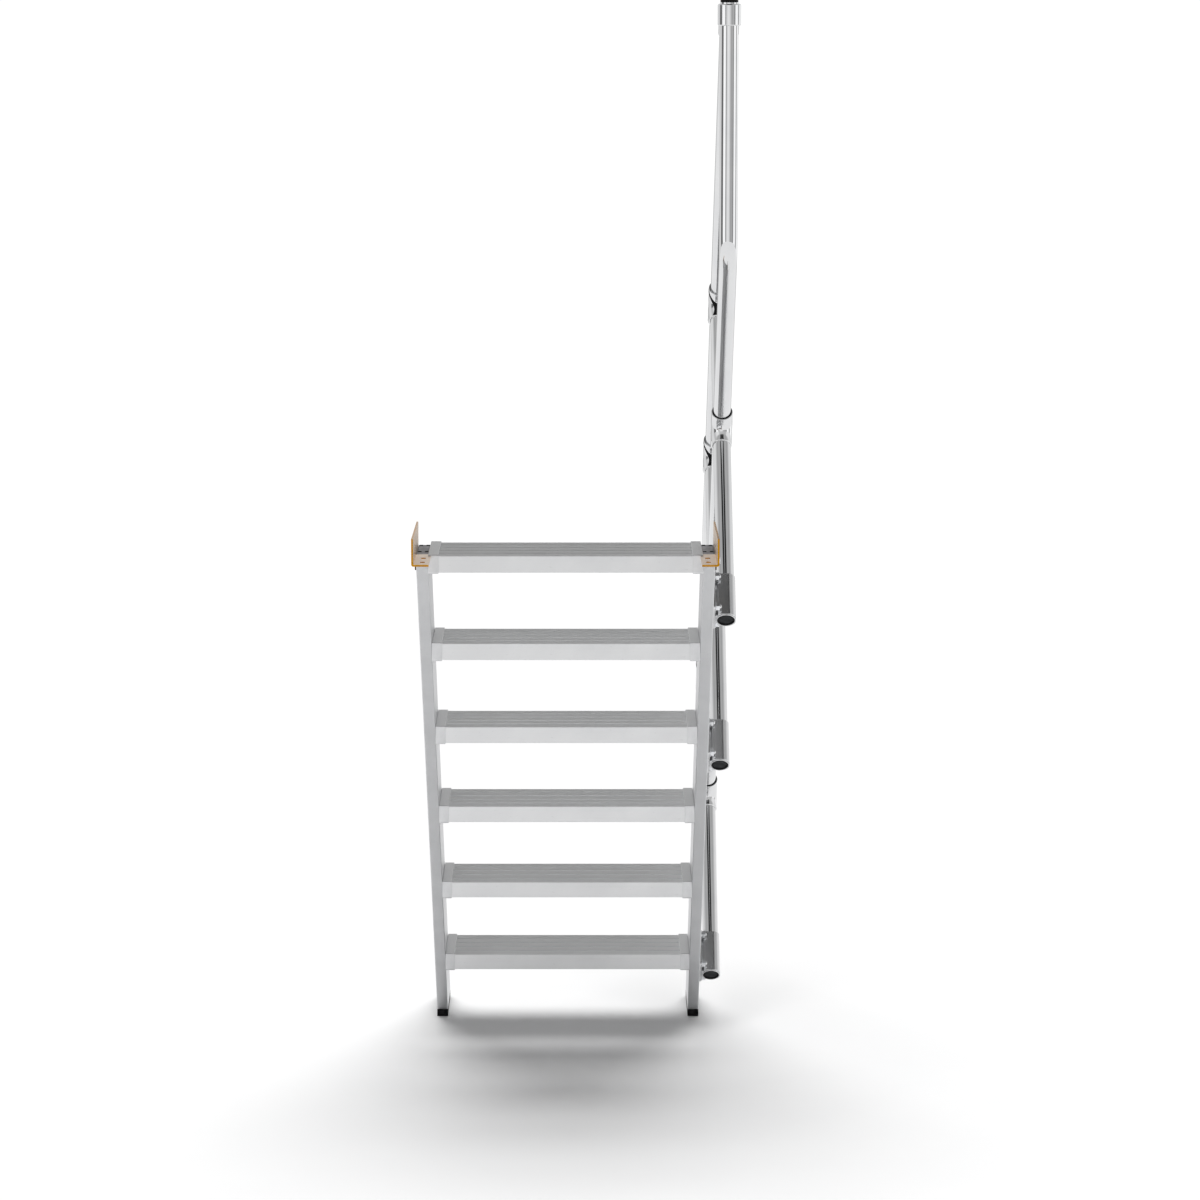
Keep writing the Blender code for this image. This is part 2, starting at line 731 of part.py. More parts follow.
def top_collar(height):
    """The collar round the upright's top, with the short sloping socket that takes the handrail."""
    down_slope = Matrix.Rotation(-math.pi / 2 - SLOPE, 4, "X")
    half = COLLAR_HALF_HEIGHT
    length = COLLAR_STUB_LENGTH
    ring = cylinder_mesh("ring", COLLAR_RADIUS, -half, half)
    stub = turned(cylinder_mesh("stub", COLLAR_STUB_RADIUS, 0, length), down_slope)
    # The bore also clears the upright through the start of the stub
    low, high = -half - length / 2, half + OVERCUT
    upright_bore = cylinder_mesh("bore", FITTING_BORE, low, high)
    rail_bore = cylinder_mesh("bore", FITTING_BORE + GAP / 3, 0.001, length + OVERCUT)
    rail_bore = turned(rail_bore, down_slope)
    body = modify(ring, "UNION", [stub])
    cut = modify(body, "DIFFERENCE", [upright_bore, rail_bore])
    part("top_collar", cut, "polished_tube", STAIR, (RAIL_PLANE_X, END_TUBE_Y, height))


def main():
    for side in ("left", "right"):
        stile(side)
        stile_top_plug(side)
        foot(side)
    treads()
    bolt = bolt_mesh()
    for side in ("left", "right"):
        bracket(side, bolt)
    posts(bolt)
    rails()


main()
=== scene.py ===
"""Looks of the fixed access stair: fine visual meshes, procedural finishes, a plain studio and the camera.

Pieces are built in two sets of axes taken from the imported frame: STAIR, whose origin is on the floor
below the rear edge of the top tread, and SLOPE, in the rear plane of the stiles, with Y down the slope
and Z square to it.
"""

import math

import bmesh
import bpy
import numpy as np
from mathutils import Matrix, Vector


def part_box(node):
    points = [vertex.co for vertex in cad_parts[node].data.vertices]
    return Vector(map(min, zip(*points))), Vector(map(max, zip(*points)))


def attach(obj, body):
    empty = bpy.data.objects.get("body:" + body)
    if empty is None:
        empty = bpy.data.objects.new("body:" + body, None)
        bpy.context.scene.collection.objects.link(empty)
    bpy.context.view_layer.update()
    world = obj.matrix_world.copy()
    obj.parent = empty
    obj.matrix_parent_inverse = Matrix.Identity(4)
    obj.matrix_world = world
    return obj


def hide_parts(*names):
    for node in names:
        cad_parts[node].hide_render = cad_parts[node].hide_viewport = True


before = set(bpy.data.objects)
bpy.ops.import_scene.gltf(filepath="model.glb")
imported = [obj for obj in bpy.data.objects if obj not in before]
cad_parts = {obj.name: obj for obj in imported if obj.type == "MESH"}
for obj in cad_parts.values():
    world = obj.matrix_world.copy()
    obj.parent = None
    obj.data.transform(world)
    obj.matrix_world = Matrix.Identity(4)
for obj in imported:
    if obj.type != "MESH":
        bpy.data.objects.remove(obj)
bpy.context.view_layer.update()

# ---------------------------------------------------------------- places, from the frame

tread_low, tread_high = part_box("tread_1")
STAIR = Matrix.Translation(((tread_low.x + tread_high.x) / 2, tread_low.y, 0))
TOP = tread_high.z
SLOPE = STAIR @ Matrix.Translation((0, 0, TOP)) @ Matrix.Rotation(-math.pi / 4, 4, "X")


def box_in(node, axes):
    """A node's lowest and highest corners in other axes."""
    inverse = axes.inverted()
    points = [inverse @ v.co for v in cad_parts[node].data.vertices]
    low = Vector(min(p[i] for p in points) for i in range(3))
    high = Vector(max(p[i] for p in points) for i in range(3))
    return low, high


def middle_in(node, axes):
    low, high = box_in(node, axes)
    return (low + high) / 2


RAIL_X = middle_in("handrail", STAIR).x
HANDRAIL = middle_in("handrail", SLOPE).z
KNEE_RAIL = middle_in("knee_rail_middle", SLOPE).z
POSTS = {name: middle_in("post_" + name, SLOPE).y for name in ("upper", "middle", "lower")}
STILE_IN = box_in("stile_right", STAIR)[0].x
STILE_OUT = box_in("stile_right", STAIR)[1].x

# ---------------------------------------------------------------- mesh tools

SIDES = 72


def mesh_from(name, shape, angle=35):
    mesh = bpy.data.meshes.new(name)
    bmesh.ops.recalc_face_normals(shape, faces=shape.faces)
    shape.to_mesh(mesh)
    shape.free()
    mesh.shade_smooth()
    mesh.set_sharp_from_angle(angle=math.radians(angle))
    return mesh


def filleted(corners, steps=5):
    """An outline with round corners, from (x, y, radius) corners."""
    outline = []
    for index, (x, y, radius) in enumerate(corners):
        if radius <= 0:
            outline.append((x, y))
            continue
        corner = Vector((x, y))
        before = (Vector(corners[index - 1][:2]) - corner).normalized()
        after = (Vector(corners[(index + 1) % len(corners)][:2]) - corner).normalized()
        half = before.angle(after) / 2
        centre = corner + (before + after).normalized() * (radius / math.sin(half))
        start = corner + before * (radius / math.tan(half)) - centre
        end = corner + after * (radius / math.tan(half)) - centre
        for step in range(steps + 1):
            share = step / steps
            along = (start * (1 - share) + end * share).normalized() * radius
            outline.append(tuple(centre + along))
    return outline


def lathe(name, profile, sides=SIDES, closed=True):
    """A surface turned round Z from (radius, height) points."""
    shape = bmesh.new()
    rings = []
    for radius, height in profile:
        if radius < 1e-6:
            rings.append([shape.verts.new((0, 0, height))])
            continue
        ring = []
        for side in range(sides):
            angle = math.tau * side / sides
            ring.append(
                shape.verts.new((radius * math.cos(angle), radius * math.sin(angle), height))
            )
        rings.append(ring)
    following = rings[1:] + rings[:1] if closed else rings[1:]
    for low, high in zip(rings, following):
        for side in range(sides):
            near, far = side, (side + 1) % sides
            corners = [
                low[near % len(low)],
                low[far % len(low)],
                high[far % len(high)],
                high[near % len(high)],
            ]
            corners = list(dict.fromkeys(corners))
            if len(corners) > 2:
                shape.faces.new(corners)
    return mesh_from(name, shape)


def round_bar(name, radius, low, high, sides=96):
    """A plain round bar along Z, used as a cutter or a filler."""
    return lathe(name, [(0, low), (radius, low), (radius, high), (0, high)], sides, closed=False)


def prism(name, outline, low, high):
    """An outline in XY drawn out along Z."""
    shape = bmesh.new()
    base = [shape.verts.new((x, y, low)) for x, y in outline]
    lid = [shape.verts.new((x, y, high)) for x, y in outline]
    count = len(outline)
    for index in range(count):
        after = (index + 1) % count
        shape.faces.new((base[index], base[after], lid[after], lid[index]))
    shape.faces.new(base[::-1])
    shape.faces.new(lid)
    return mesh_from(name, shape)


# Turns an outline's x and y into Y and Z, and its thickness into X
SIDEWAYS = Matrix(((0, 0, 1, 0), (1, 0, 0, 0), (0, 1, 0, 0), (0, 0, 0, 1)))
# Turns an outline's x and y into X and Z, and its thickness into -Y
ENDWAYS = Matrix(((1, 0, 0, 0), (0, 0, -1, 0), (0, 1, 0, 0), (0, 0, 0, 1)))
ALONG_Y = Matrix.Rotation(-math.pi / 2, 4, "X")
ALONG_X = Matrix.Rotation(math.pi / 2, 4, "Y")


def moved(mesh, matrix):
    mesh.transform(matrix)
    return mesh


def evaluated(mesh, prepare):
    """The mesh after the modifiers that prepare adds."""
    obj = bpy.data.objects.new(mesh.name, mesh)
    bpy.context.scene.collection.objects.link(obj)
    prepare(obj)
    bpy.context.view_layer.update()
    graph = bpy.context.evaluated_depsgraph_get()
    result = bpy.data.meshes.new_from_object(obj.evaluated_get(graph))
    result.name = mesh.name
    bpy.data.objects.remove(obj, do_unlink=True)
    return result


def bevelled(mesh, width, segments=2, angle=40):
    def prepare(obj):
        bevel = obj.modifiers.new("bevel", "BEVEL")
        bevel.width = width
        bevel.segments = segments
        bevel.limit_method = "ANGLE"
        bevel.angle_limit = math.radians(angle)
        bevel.harden_normals = True
        bevel.use_clamp_overlap = True

    result = evaluated(mesh, prepare)
    result.shade_smooth()
    return result


def faired(mesh):
    """The mesh with its broad flat faces shaded truly flat beside their rounded edges."""

    def prepare(obj):
        weighting = obj.modifiers.new("weighting", "WEIGHTED_NORMAL")
        weighting.keep_sharp = True

    return evaluated(mesh, prepare)


def combined(mesh, operation, others, angle=35):
    helpers = []
    for other in others:
        helper = bpy.data.objects.new(other.name, other)
        bpy.context.scene.collection.objects.link(helper)
        helpers.append(helper)

    def prepare(obj):
        for helper in helpers:
            boolean = obj.modifiers.new("boolean", "BOOLEAN")
            boolean.operation = operation
            boolean.solver = "EXACT"
            boolean.object = helper

    result = evaluated(mesh, prepare)
    for helper in helpers:
        bpy.data.objects.remove(helper, do_unlink=True)
    result.shade_smooth()
    result.set_sharp_from_angle(angle=math.radians(angle))
    return result


def joined(name, items):
    """One mesh of several, each with its matrix and its material index."""
    shape = bmesh.new()
    for mesh, matrix, index in items:
        start = len(shape.faces)
        copy = mesh.copy()
        copy.transform(matrix)
        shape.from_mesh(copy)
        shape.faces.ensure_lookup_table()
        for face in shape.faces[start:]:
            face.material_index = index
        bpy.data.meshes.remove(copy)
    return mesh_from(name, shape)


def bar_field(points, axis, radius, low, high, edge):
    """Signed distance to a round bar with rounded ends."""
    along = np.abs(points[:, axis] - (low + high) / 2) - (high - low) / 2 + edge
    around = np.linalg.norm(np.delete(points, axis, 1), axis=1) - radius + edge
    outside = np.hypot(np.maximum(along, 0), np.maximum(around, 0))
    return outside + np.minimum(np.maximum(along, around), 0) - edge


def casting(name, bars, blend, voxel=0.0013):
    """Crossing bars of a pipe fitting, fused with a smooth fillet where they meet at an angle."""

    def field(points):
        first, second = (bar_field(points, *bar, 0.0018) for bar in bars)
        radii = [np.linalg.norm(np.delete(points, bar[0], 1), axis=1) + 1e-9 for bar in bars]
        alike = points[:, 0] ** 2 / (radii[0] * radii[1])
        width = blend * (1 - np.clip(alike, 0, 1) ** 2) + 1e-5
        share = np.clip(0.5 + 0.5 * (second - first) / width, 0, 1)
        return second * (1 - share) + first * share - width * share * (1 - share)

    def slope(points):
        step = 2e-5
        result = np.empty_like(points)
        for axis in range(3):
            offset = np.zeros(3)
            offset[axis] = step
            result[:, axis] = (field(points + offset) - field(points - offset)) / (2 * step)
        return result

    shape = bmesh.new()
    turns = {1: ALONG_Y, 2: Matrix.Identity(4)}
    for axis, radius, low, high in bars:
        place = turns[axis] @ Matrix.Translation((0, 0, (low + high) / 2))
        bmesh.ops.create_cone(
            shape,
            cap_ends=True,
            segments=48,
            radius1=radius,
            radius2=radius,
            depth=high - low,
            matrix=place,
        )
    rough = mesh_from(name, shape)

    def prepare(obj):
        remesh = obj.modifiers.new("remesh", "REMESH")
        remesh.mode = "VOXEL"
        remesh.voxel_size = voxel

    mesh = evaluated(rough, prepare)
    points = np.empty(len(mesh.vertices) * 3)
    mesh.vertices.foreach_get("co", points)
    points = points.reshape(-1, 3)
    for _ in range(10):
        gradient = slope(points)
        size = np.maximum((gradient**2).sum(axis=1), 0.05)
        points -= gradient * (field(points) / size)[:, None]
    mesh.vertices.foreach_set("co", points.ravel())
    normals = slope(points)
    normals /= np.linalg.norm(normals, axis=1)[:, None]
    mesh.update()
    mesh.shade_smooth()
    mesh.normals_split_custom_set_from_vertices(normals.tolist())
    return mesh


# ---------------------------------------------------------------- finishes


class Finish:
    """A material under construction, with short ways to add and link its nodes."""

    def __init__(self, name, colour, metallic, roughness, **inputs):
        self.material = bpy.data.materials.new(name)
        self.material.use_nodes = True
        self.tree = self.material.node_tree
        self.shader = self.tree.nodes["Principled BSDF"]
        self.shader.inputs["Base Color"].default_value = (*colour, 1)
        self.shader.inputs["Metallic"].default_value = metallic
        self.shader.inputs["Roughness"].default_value = roughness
        for key, value in inputs.items():
            self.shader.inputs[key.replace("_", " ")].default_value = value
        self.material.diffuse_color = (*colour, 1)
        self.place = self.node("ShaderNodeTexCoord").outputs["Object"]

    def node(self, kind, **links):
        made = self.tree.nodes.new(kind)
        for key, value in links.items():
            socket = made.inputs[key.replace("_", " ")]
            if isinstance(value, bpy.types.NodeSocket):
                self.tree.links.new(value, socket)
            else:
                socket.default_value = value
        return made

    def stretched(self, scale, turn=0.0):
        mapping = self.node("ShaderNodeMapping", Vector=self.place)
        mapping.vector_type = "POINT"
        rotate = self.node("ShaderNodeVectorRotate", Vector=self.place, Angle=turn)
        rotate.rotation_type = "X_AXIS"
        self.tree.links.new(rotate.outputs[0], mapping.inputs["Vector"])
        mapping.inputs["Scale"].default_value = scale
        return mapping.outputs[0]

    def noise(self, vector, scale, detail=3.0, roughness=0.55, distortion=0.0):
        made = self.node(
            "ShaderNodeTexNoise",
            Vector=vector,
            Scale=scale,
            Detail=detail,
            Roughness=roughness,
            Distortion=distortion,
        )
        return made.outputs["Fac"]

    def ramp(self, factor, stops):
        made = self.node("ShaderNodeValToRGB", Fac=factor)
        elements = made.color_ramp.elements
        while len(elements) < len(stops):
            elements.new(0.5)
        for element, (position, colour) in zip(elements, stops):
            element.position = position
            element.color = (*colour, 1) if hasattr(colour, "__len__") else (colour,) * 3 + (1,)
        return made.outputs["Color"]

    def mixed(self, first, second, share, kind="MIX"):
        made = self.tree.nodes.new("ShaderNodeMix")
        made.data_type = "RGBA"
        made.blend_type = kind
        for socket, value in ((made.inputs[0], share), (made.inputs[6], first), (made.inputs[7], second)):
            if isinstance(value, bpy.types.NodeSocket):
                self.tree.links.new(value, socket)
            elif hasattr(value, "__len__"):
                socket.default_value = (*value, 1)
            else:
                socket.default_value = value
        return made.outputs[2]

    def upward(self, most):
        """A share that grows to most where the surface faces up."""
        normal = self.node("ShaderNodeNewGeometry").outputs["Normal"]
        height = self.node("ShaderNodeSeparateXYZ", Vector=normal).outputs["Z"]
        return self.ramp(height, [(0.6, 0.0), (0.9, most)])

    def spread(self, factor, low, high):
        made = self.node("ShaderNodeMapRange", Value=factor)
        made.inputs["From Min"].default_value = 0.3
        made.inputs["From Max"].default_value = 0.7
        made.inputs["To Min"].default_value = low
        made.inputs["To Max"].default_value = high
        return made.outputs[0]

    def summed(self, first, second, weight):
        made = self.tree.nodes.new("ShaderNodeMath")
        made.operation = "MULTIPLY_ADD"
        self.tree.links.new(second, made.inputs[0])
        made.inputs[1].default_value = weight
        self.tree.links.new(first, made.inputs[2])
        return made.outputs[0]

    def colour(self, socket):
        self.tree.links.new(socket, self.shader.inputs["Base Color"])

    def rough(self, socket):
        self.tree.links.new(socket, self.shader.inputs["Roughness"])

    def bump(self, height, distance, strength=1.0):
        made = self.node("ShaderNodeBump", Height=height, Distance=distance, Strength=strength)
        self.tree.links.new(made.outputs[0], self.shader.inputs["Normal"])


def extruded_finish(name, scale, turn=0.0, light=(0.68, 0.685, 0.695), dark=(0.61, 0.615, 0.625), painted_top_light=0.0):
    """Satin anodised aluminium with die lines along its length, faint clouds and a few scuffs, and a share
    of painted light that pales the faces looking up.
    """
    made = Finish(name, light, 1.0, 0.36)
    lines = made.noise(made.stretched(scale, turn), 1.0, 4.0, 0.6)
    clouds = made.noise(made.place, 9.0, 3.0, 0.5, 0.6)
    scuffs = made.noise(made.stretched((60, 380, 60), turn + 0.5), 1.0, 2.0, 0.7, 0.4)
    mottled = made.summed(clouds, lines, 0.5)
    colour = made.ramp(mottled, [(0.45, dark), (0.95, light)])
    marks = made.ramp(scuffs, [(0.66, 0.0), (0.74, 0.25)])
    colour = made.mixed(colour, (0.53, 0.535, 0.54), marks)
    if painted_top_light:
        # painted light: the faces that look up are paled towards white
        colour = made.mixed(colour, (0.94, 0.945, 0.95), made.upward(painted_top_light))
    made.colour(colour)
    made.rough(made.spread(made.summed(lines, scuffs, 0.35), 0.30, 0.44))
    made.bump(made.summed(lines, scuffs, 0.6), 0.00012, 0.35)
    return made.material


def cast_finish():
    """Pressed and die-cast aluminium: a fine grain, slightly darker in its hollows, with painted shade on
    the faces that look up.
    """
    made = Finish("cast_aluminium", (0.68, 0.685, 0.695), 1.0, 0.44)
    grain = made.noise(made.place, 900.0, 4.0, 0.65)
    clouds = made.noise(made.place, 30.0, 3.0, 0.6, 0.4)
    colour = made.ramp(
        made.summed(clouds, grain, 0.35),
        [(0.4, (0.63, 0.635, 0.645)), (0.9, (0.74, 0.745, 0.755))],
    )
    # painted shade: the faces that look up are darkened
    made.colour(made.mixed(colour, (0.62, 0.625, 0.63), made.upward(1.0)))
    made.rough(made.spread(grain, 0.36, 0.52))
    made.bump(grain, 0.00025, 0.5)
    return made.material


def tube_finish(name, roughness, smudge):
    """Polished aluminium tube: a near mirror with faint waves and smears of a softer gloss."""
    made = Finish(name, (0.80, 0.805, 0.81), 1.0, roughness)
    smears = made.noise(made.stretched((7, 7, 7)), 1.0, 4.0, 0.6, 1.2)
    fine = made.noise(made.place, 1400.0, 2.0, 0.5)
    waves = made.noise(made.place, 26.0, 2.0, 0.5)
    made.colour(made.ramp(smears, [(0.35, (0.69, 0.695, 0.705)), (0.7, (0.74, 0.742, 0.745))]))
    made.rough(made.spread(made.summed(smears, fine, 0.3), roughness, roughness + smudge))
    made.bump(made.summed(waves, fine, 0.03), 0.00010, 0.10)
    return made.material


def zinc_finish(name, pale, deep, pink, roughness):
    """Yellow passivated zinc: brushed streaks along X in straw, pink and grey."""
    made = Finish(name, pale, 1.0, roughness)
    streaks = made.noise(made.stretched((18, 420, 420)), 1.0, 4.0, 0.65, 0.3)
    clouds = made.noise(made.place, 46.0, 3.0, 0.6, 1.0)
    base = made.ramp(streaks, [(0.36, deep), (0.5, pale), (0.64, pink)])
    tint = made.ramp(clouds, [(0.35, deep), (0.7, pale)])
    made.colour(made.mixed(base, tint, 0.45))
    made.rough(made.spread(streaks, roughness - 0.07, roughness + 0.10))
    made.bump(streaks, 0.00015, 0.4)
    return made.material


def bolt_finish():
    """Bright zinc plating with turning marks and rubbed facets."""
    made = Finish("zinc_bolt", (0.80, 0.81, 0.83), 1.0, 0.16)
    marks = made.noise(made.place, 420.0, 3.0, 0.6)
    clouds = made.noise(made.place, 120.0, 2.0, 0.5)
    made.colour(made.ramp(clouds, [(0.35, (0.72, 0.735, 0.76)), (0.7, (0.86, 0.865, 0.87))]))
    made.rough(made.spread(marks, 0.10, 0.26))
    made.bump(marks, 0.00012, 0.4)
    return made.material


def plastic_finish(name, low, high, roughness, scale, depth, gloss, along=1.0):
    """Moulded plastic with an eroded grain and scuffed, paler high points."""
    made = Finish(name, high, 0.0, roughness, Specular_IOR_Level=gloss)
    grid = made.stretched((1, along, 1))
    grain = made.noise(grid, scale, 5.0, 0.7)
    clouds = made.noise(grid, scale / 9, 3.0, 0.6, 0.5)
    made.colour(made.ramp(made.summed(clouds, grain, 0.6), [(0.62, low), (0.95, high)]))
    made.rough(made.spread(grain, roughness - 0.1, roughness + 0.15))
    made.bump(grain, depth, 0.6)
    return made.material


STILE_FINISH = extruded_finish("stile_aluminium", (900, 5, 900), math.pi / 4)
# The treads' tops are paled with painted light.
TREAD_FINISH = extruded_finish(
    "tread_aluminium", (5, 900, 900), 0.0, (0.78, 0.785, 0.79), (0.71, 0.715, 0.725), 0.9
)
CAST = cast_finish()
TUBE = tube_finish("polished_tube", 0.015, 0.03)
FITTING = tube_finish("polished_fitting", 0.03, 0.05)
SLEEVE = tube_finish("sleeve_aluminium", 0.16, 0.08)
ZINC = zinc_finish("yellow_zinc", (0.84, 0.69, 0.53), (0.66, 0.50, 0.38), (0.86, 0.70, 0.62), 0.34)
# Painted shade: a near-black copy of the yellow zinc for the hanging tab's edges.
ZINC_TAB_SHADE = zinc_finish(
    "yellow_zinc_tab_shade", (0.13, 0.06, 0.008), (0.03, 0.015, 0.004), (0.20, 0.10, 0.01), 0.3
)
# Painted shade: a darker copy of the yellow zinc for the bracket's edge and rim faces.
ZINC_EDGE_SHADE = zinc_finish(
    "yellow_zinc_edge_shade", (0.56, 0.26, 0.008), (0.36, 0.15, 0.004), (0.66, 0.34, 0.02), 0.28
)
BOLT = bolt_finish()
PLUG = plastic_finish(
    "grey_plastic", (0.055, 0.056, 0.060), (0.20, 0.20, 0.21), 0.55, 300.0, 0.0005, 0.4, 0.3
)
DISC = plastic_finish(
    "plug_plastic", (0.012, 0.013, 0.014), (0.035, 0.037, 0.039), 0.5, 700.0, 0.0003, 0.12
)
# Black plastic for the feet and caps, also used as painted shade for the strips across the tees and the
# rings in the fitting mouths.
BLACK_AND_SHADE = plastic_finish(
    "black_plastic", (0.004, 0.004, 0.0045), (0.016, 0.016, 0.017), 0.45, 500.0, 0.0002, 0.08
)
# Painted shade: a flat near-black finish for the blocks that stand in for shaded notches in the plug's top.
PLUG_NOTCH_SHADE = plastic_finish(
    "plug_notch_shade", (0.003, 0.003, 0.003), (0.010, 0.010, 0.010), 0.9, 500.0, 0.0002, 0.0
)


def painted(mesh, *materials, fair=True):
    """The mesh with its materials, each face keeping the index that it was made with."""
    mesh = faired(mesh) if fair else mesh
    indices = [face.material_index for face in mesh.polygons]
    mesh.materials.clear()
    for material in materials:
        mesh.materials.append(material)
    mesh.polygons.foreach_set("material_index", indices)
    return mesh


def piece(name, mesh, place, slot, *nodes):
    """A visible piece that rides on the frame and stands for the named nodes."""
    obj = bpy.data.objects.new(name, mesh)
    bpy.context.scene.collection.objects.link(obj)
    obj.matrix_world = place
    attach(obj, "root")
    if nodes:
        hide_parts(*nodes)
    return obj


# ---------------------------------------------------------------- stiles, plugs and feet

STILE_WIDTH = STILE_OUT - STILE_IN
stile_box = box_in("stile_right", STAIR)
plug_box = box_in("stile_top_plug_right", STAIR)
CUT = 0.150 * math.sqrt(2)
FOOT_TOP = 0.018
PLUG_PLATE = 0.003


def band(low, high, rear=0.0, front=0.0):
    """The stile's side view between two heights, set in at its rear and front."""
    return [
        (TOP - low + rear, low),
        (TOP - low + CUT - front, low),
        (TOP - high + CUT - front, high),
        (TOP - high + rear, high),
    ]


def side_prism(name, outline, width):
    return moved(prism(name, outline, -width / 2, width / 2), SIDEWAYS)


stile_mesh = side_prism("stile", band(stile_box[0].z, stile_box[1].z), STILE_WIDTH)
stile_mesh = painted(bevelled(stile_mesh, 0.0016, 3), STILE_FINISH)

plug_top = plug_box[1].z
plate = side_prism("plug", band(plug_top - PLUG_PLATE, plug_top - 0.0008), STILE_WIDTH)
plate = bevelled(plate, 0.0006, 2)
panel_outline = [(0.098, 0), (0.2125, 0), (0.2125, 0.0016), (0.098, 0.0016)]
panel = side_prism("panel", panel_outline, STILE_WIDTH - 0.0030)
panel.transform(Matrix.Translation((0, 0, plug_top - 0.0017)))
# Four thin black blocks in the plug's top are painted shade in place of shaded notches.
shade_blocks = []
for y, half_depth in ((0.1045, 0.0060), (0.2040, 0.0085)):
    for x in (-0.0078, 0.0078):
        outline = [
            (y - half_depth, 0),
            (y + half_depth, 0),
            (y + half_depth, 0.0013),
            (y - half_depth, 0.0013),
        ]
        shade_block = side_prism("shade_block", outline, 0.0080)
        shade_blocks.append((shade_block, Matrix.Translation((x, 0, plug_top - 0.0012)), 1))
here = Matrix.Identity(4)
plug_mesh = joined("stile_plug", [(plate, here, 0), (bevelled(panel, 0.0003, 1), here, 0), *shade_blocks])
plug_mesh = painted(plug_mesh, PLUG, PLUG_NOTCH_SHADE)

foot_rear = TOP - FOOT_TOP
foot_outline = filleted(
    [
        (foot_rear + 0.004, 0, 0.001),
        (foot_rear + CUT - 0.004, 0, 0.001),
        (foot_rear + CUT, 0.004, 0.001),
        (foot_rear + CUT, 0.0085, 0),
        (foot_rear + CUT - 0.0008, 0.0090, 0),
        (foot_rear + CUT, 0.0095, 0),
        (foot_rear + CUT, FOOT_TOP, 0.0004),
        (foot_rear, FOOT_TOP, 0.0004),
        (foot_rear, 0.0095, 0),
        (foot_rear + 0.0008, 0.0090, 0),
        (foot_rear, 0.0085, 0),
        (foot_rear, 0.004, 0.001),
    ],
    3,
)
foot_mesh = painted(bevelled(side_prism("foot", foot_outline, STILE_WIDTH), 0.0010, 2), BLACK_AND_SHADE)

for side, sign in (("left", -1), ("right", 1)):
    centre = STAIR @ Matrix.Translation((sign * (STILE_IN + STILE_OUT) / 2, 0, 0))
    piece(f"stile_shell_{side}", stile_mesh, centre, "aluminium", f"stile_{side}")
    piece(f"stile_plug_{side}", plug_mesh, centre, "grey_plastic", f"stile_top_plug_{side}")
    piece(f"foot_block_{side}", foot_mesh, centre, "black_plastic", f"foot_{side}")

# ---------------------------------------------------------------- treads and their shoes

DEPTH = 0.225
HEIGHT = 0.037
BANDS = 5
TEETH = 9
TOOTH_DEPTH = 0.00035


def tread_outline():
    """The tread's section: five bands of fine teeth with deeper channels between, and a round nose."""
    pitch = DEPTH / BANDS
    points = []
    for index in range(BANDS):
        start = index * pitch + (0.003 if index else 0.0022)
        end = (index + 1) * pitch - (0.003 if index < BANDS - 1 else 0.0075)
        tooth = (end - start) / TEETH
        for number in range(TEETH):
            left = start + number * tooth
            points += [
                (left, 0),
                (left + tooth * 0.52, 0),
                (left + tooth * 0.66, -TOOTH_DEPTH),
                (left + tooth * 0.86, -TOOTH_DEPTH),
            ]
        points.append((end, 0))
        if index < BANDS - 1:
            middle = (index + 1) * pitch
            points += [(middle - 0.0020, -0.0020), (middle + 0.0020, -0.0020)]
    nose = filleted(
        [(DEPTH - 0.0074, 0, 0), (DEPTH, 0, 0.006), (DEPTH, -HEIGHT, 0.0015), (0.05, -HEIGHT, 0)], 5
    )
    tail = filleted([(0.05, -HEIGHT, 0), (0, -HEIGHT, 0.0010), (0, 0, 0.0007), (0.0021, 0, 0)], 4)
    return points + nose[1:-1] + tail[1:-1]


plank_width = tread_high.x - tread_low.x + 0.004
plank_mesh = side_prism("plank", tread_outline(), plank_width)
plank_mesh = painted(plank_mesh, TREAD_FINISH)

shoe_box = box_in("tread_1_shoe_right", STAIR)
shoe_width = shoe_box[1].x - shoe_box[0].x
PROUD = 0.0025
shoe_outline = filleted(
    [
        (-PROUD, -HEIGHT - PROUD, 0.004),
        (DEPTH + PROUD, -HEIGHT - PROUD, 0.004),
        (DEPTH + PROUD, PROUD, 0.006),
        (-PROUD, PROUD, 0.0012),
    ],
    6,
)
shoe_mesh = painted(bevelled(side_prism("shoe", shoe_outline, shoe_width), 0.0007, 3, 60), CAST)

for number in range(1, 7):
    low, high = box_in(f"tread_{number}", STAIR)
    at = STAIR @ Matrix.Translation((0, low.y, high.z))
    piece(f"tread_plank_{number}", plank_mesh, at, "aluminium", f"tread_{number}")
    for side in ("left", "right"):
        node = f"tread_{number}_shoe_{side}"
        centre = middle_in(node, STAIR).x
        place = at @ Matrix.Translation((centre, 0, 0))
        piece(f"tread_cap_{number}_{side}", shoe_mesh, place, "cast_aluminium", node)

# ---------------------------------------------------------------- bolts

HEAD_RADIUS = 0.0098
HEAD_HEIGHT = 0.0064
TALL_HEAD = 0.0078
WASHER_RADIUS = 0.0105
WASHER_HEIGHT = 0.0020


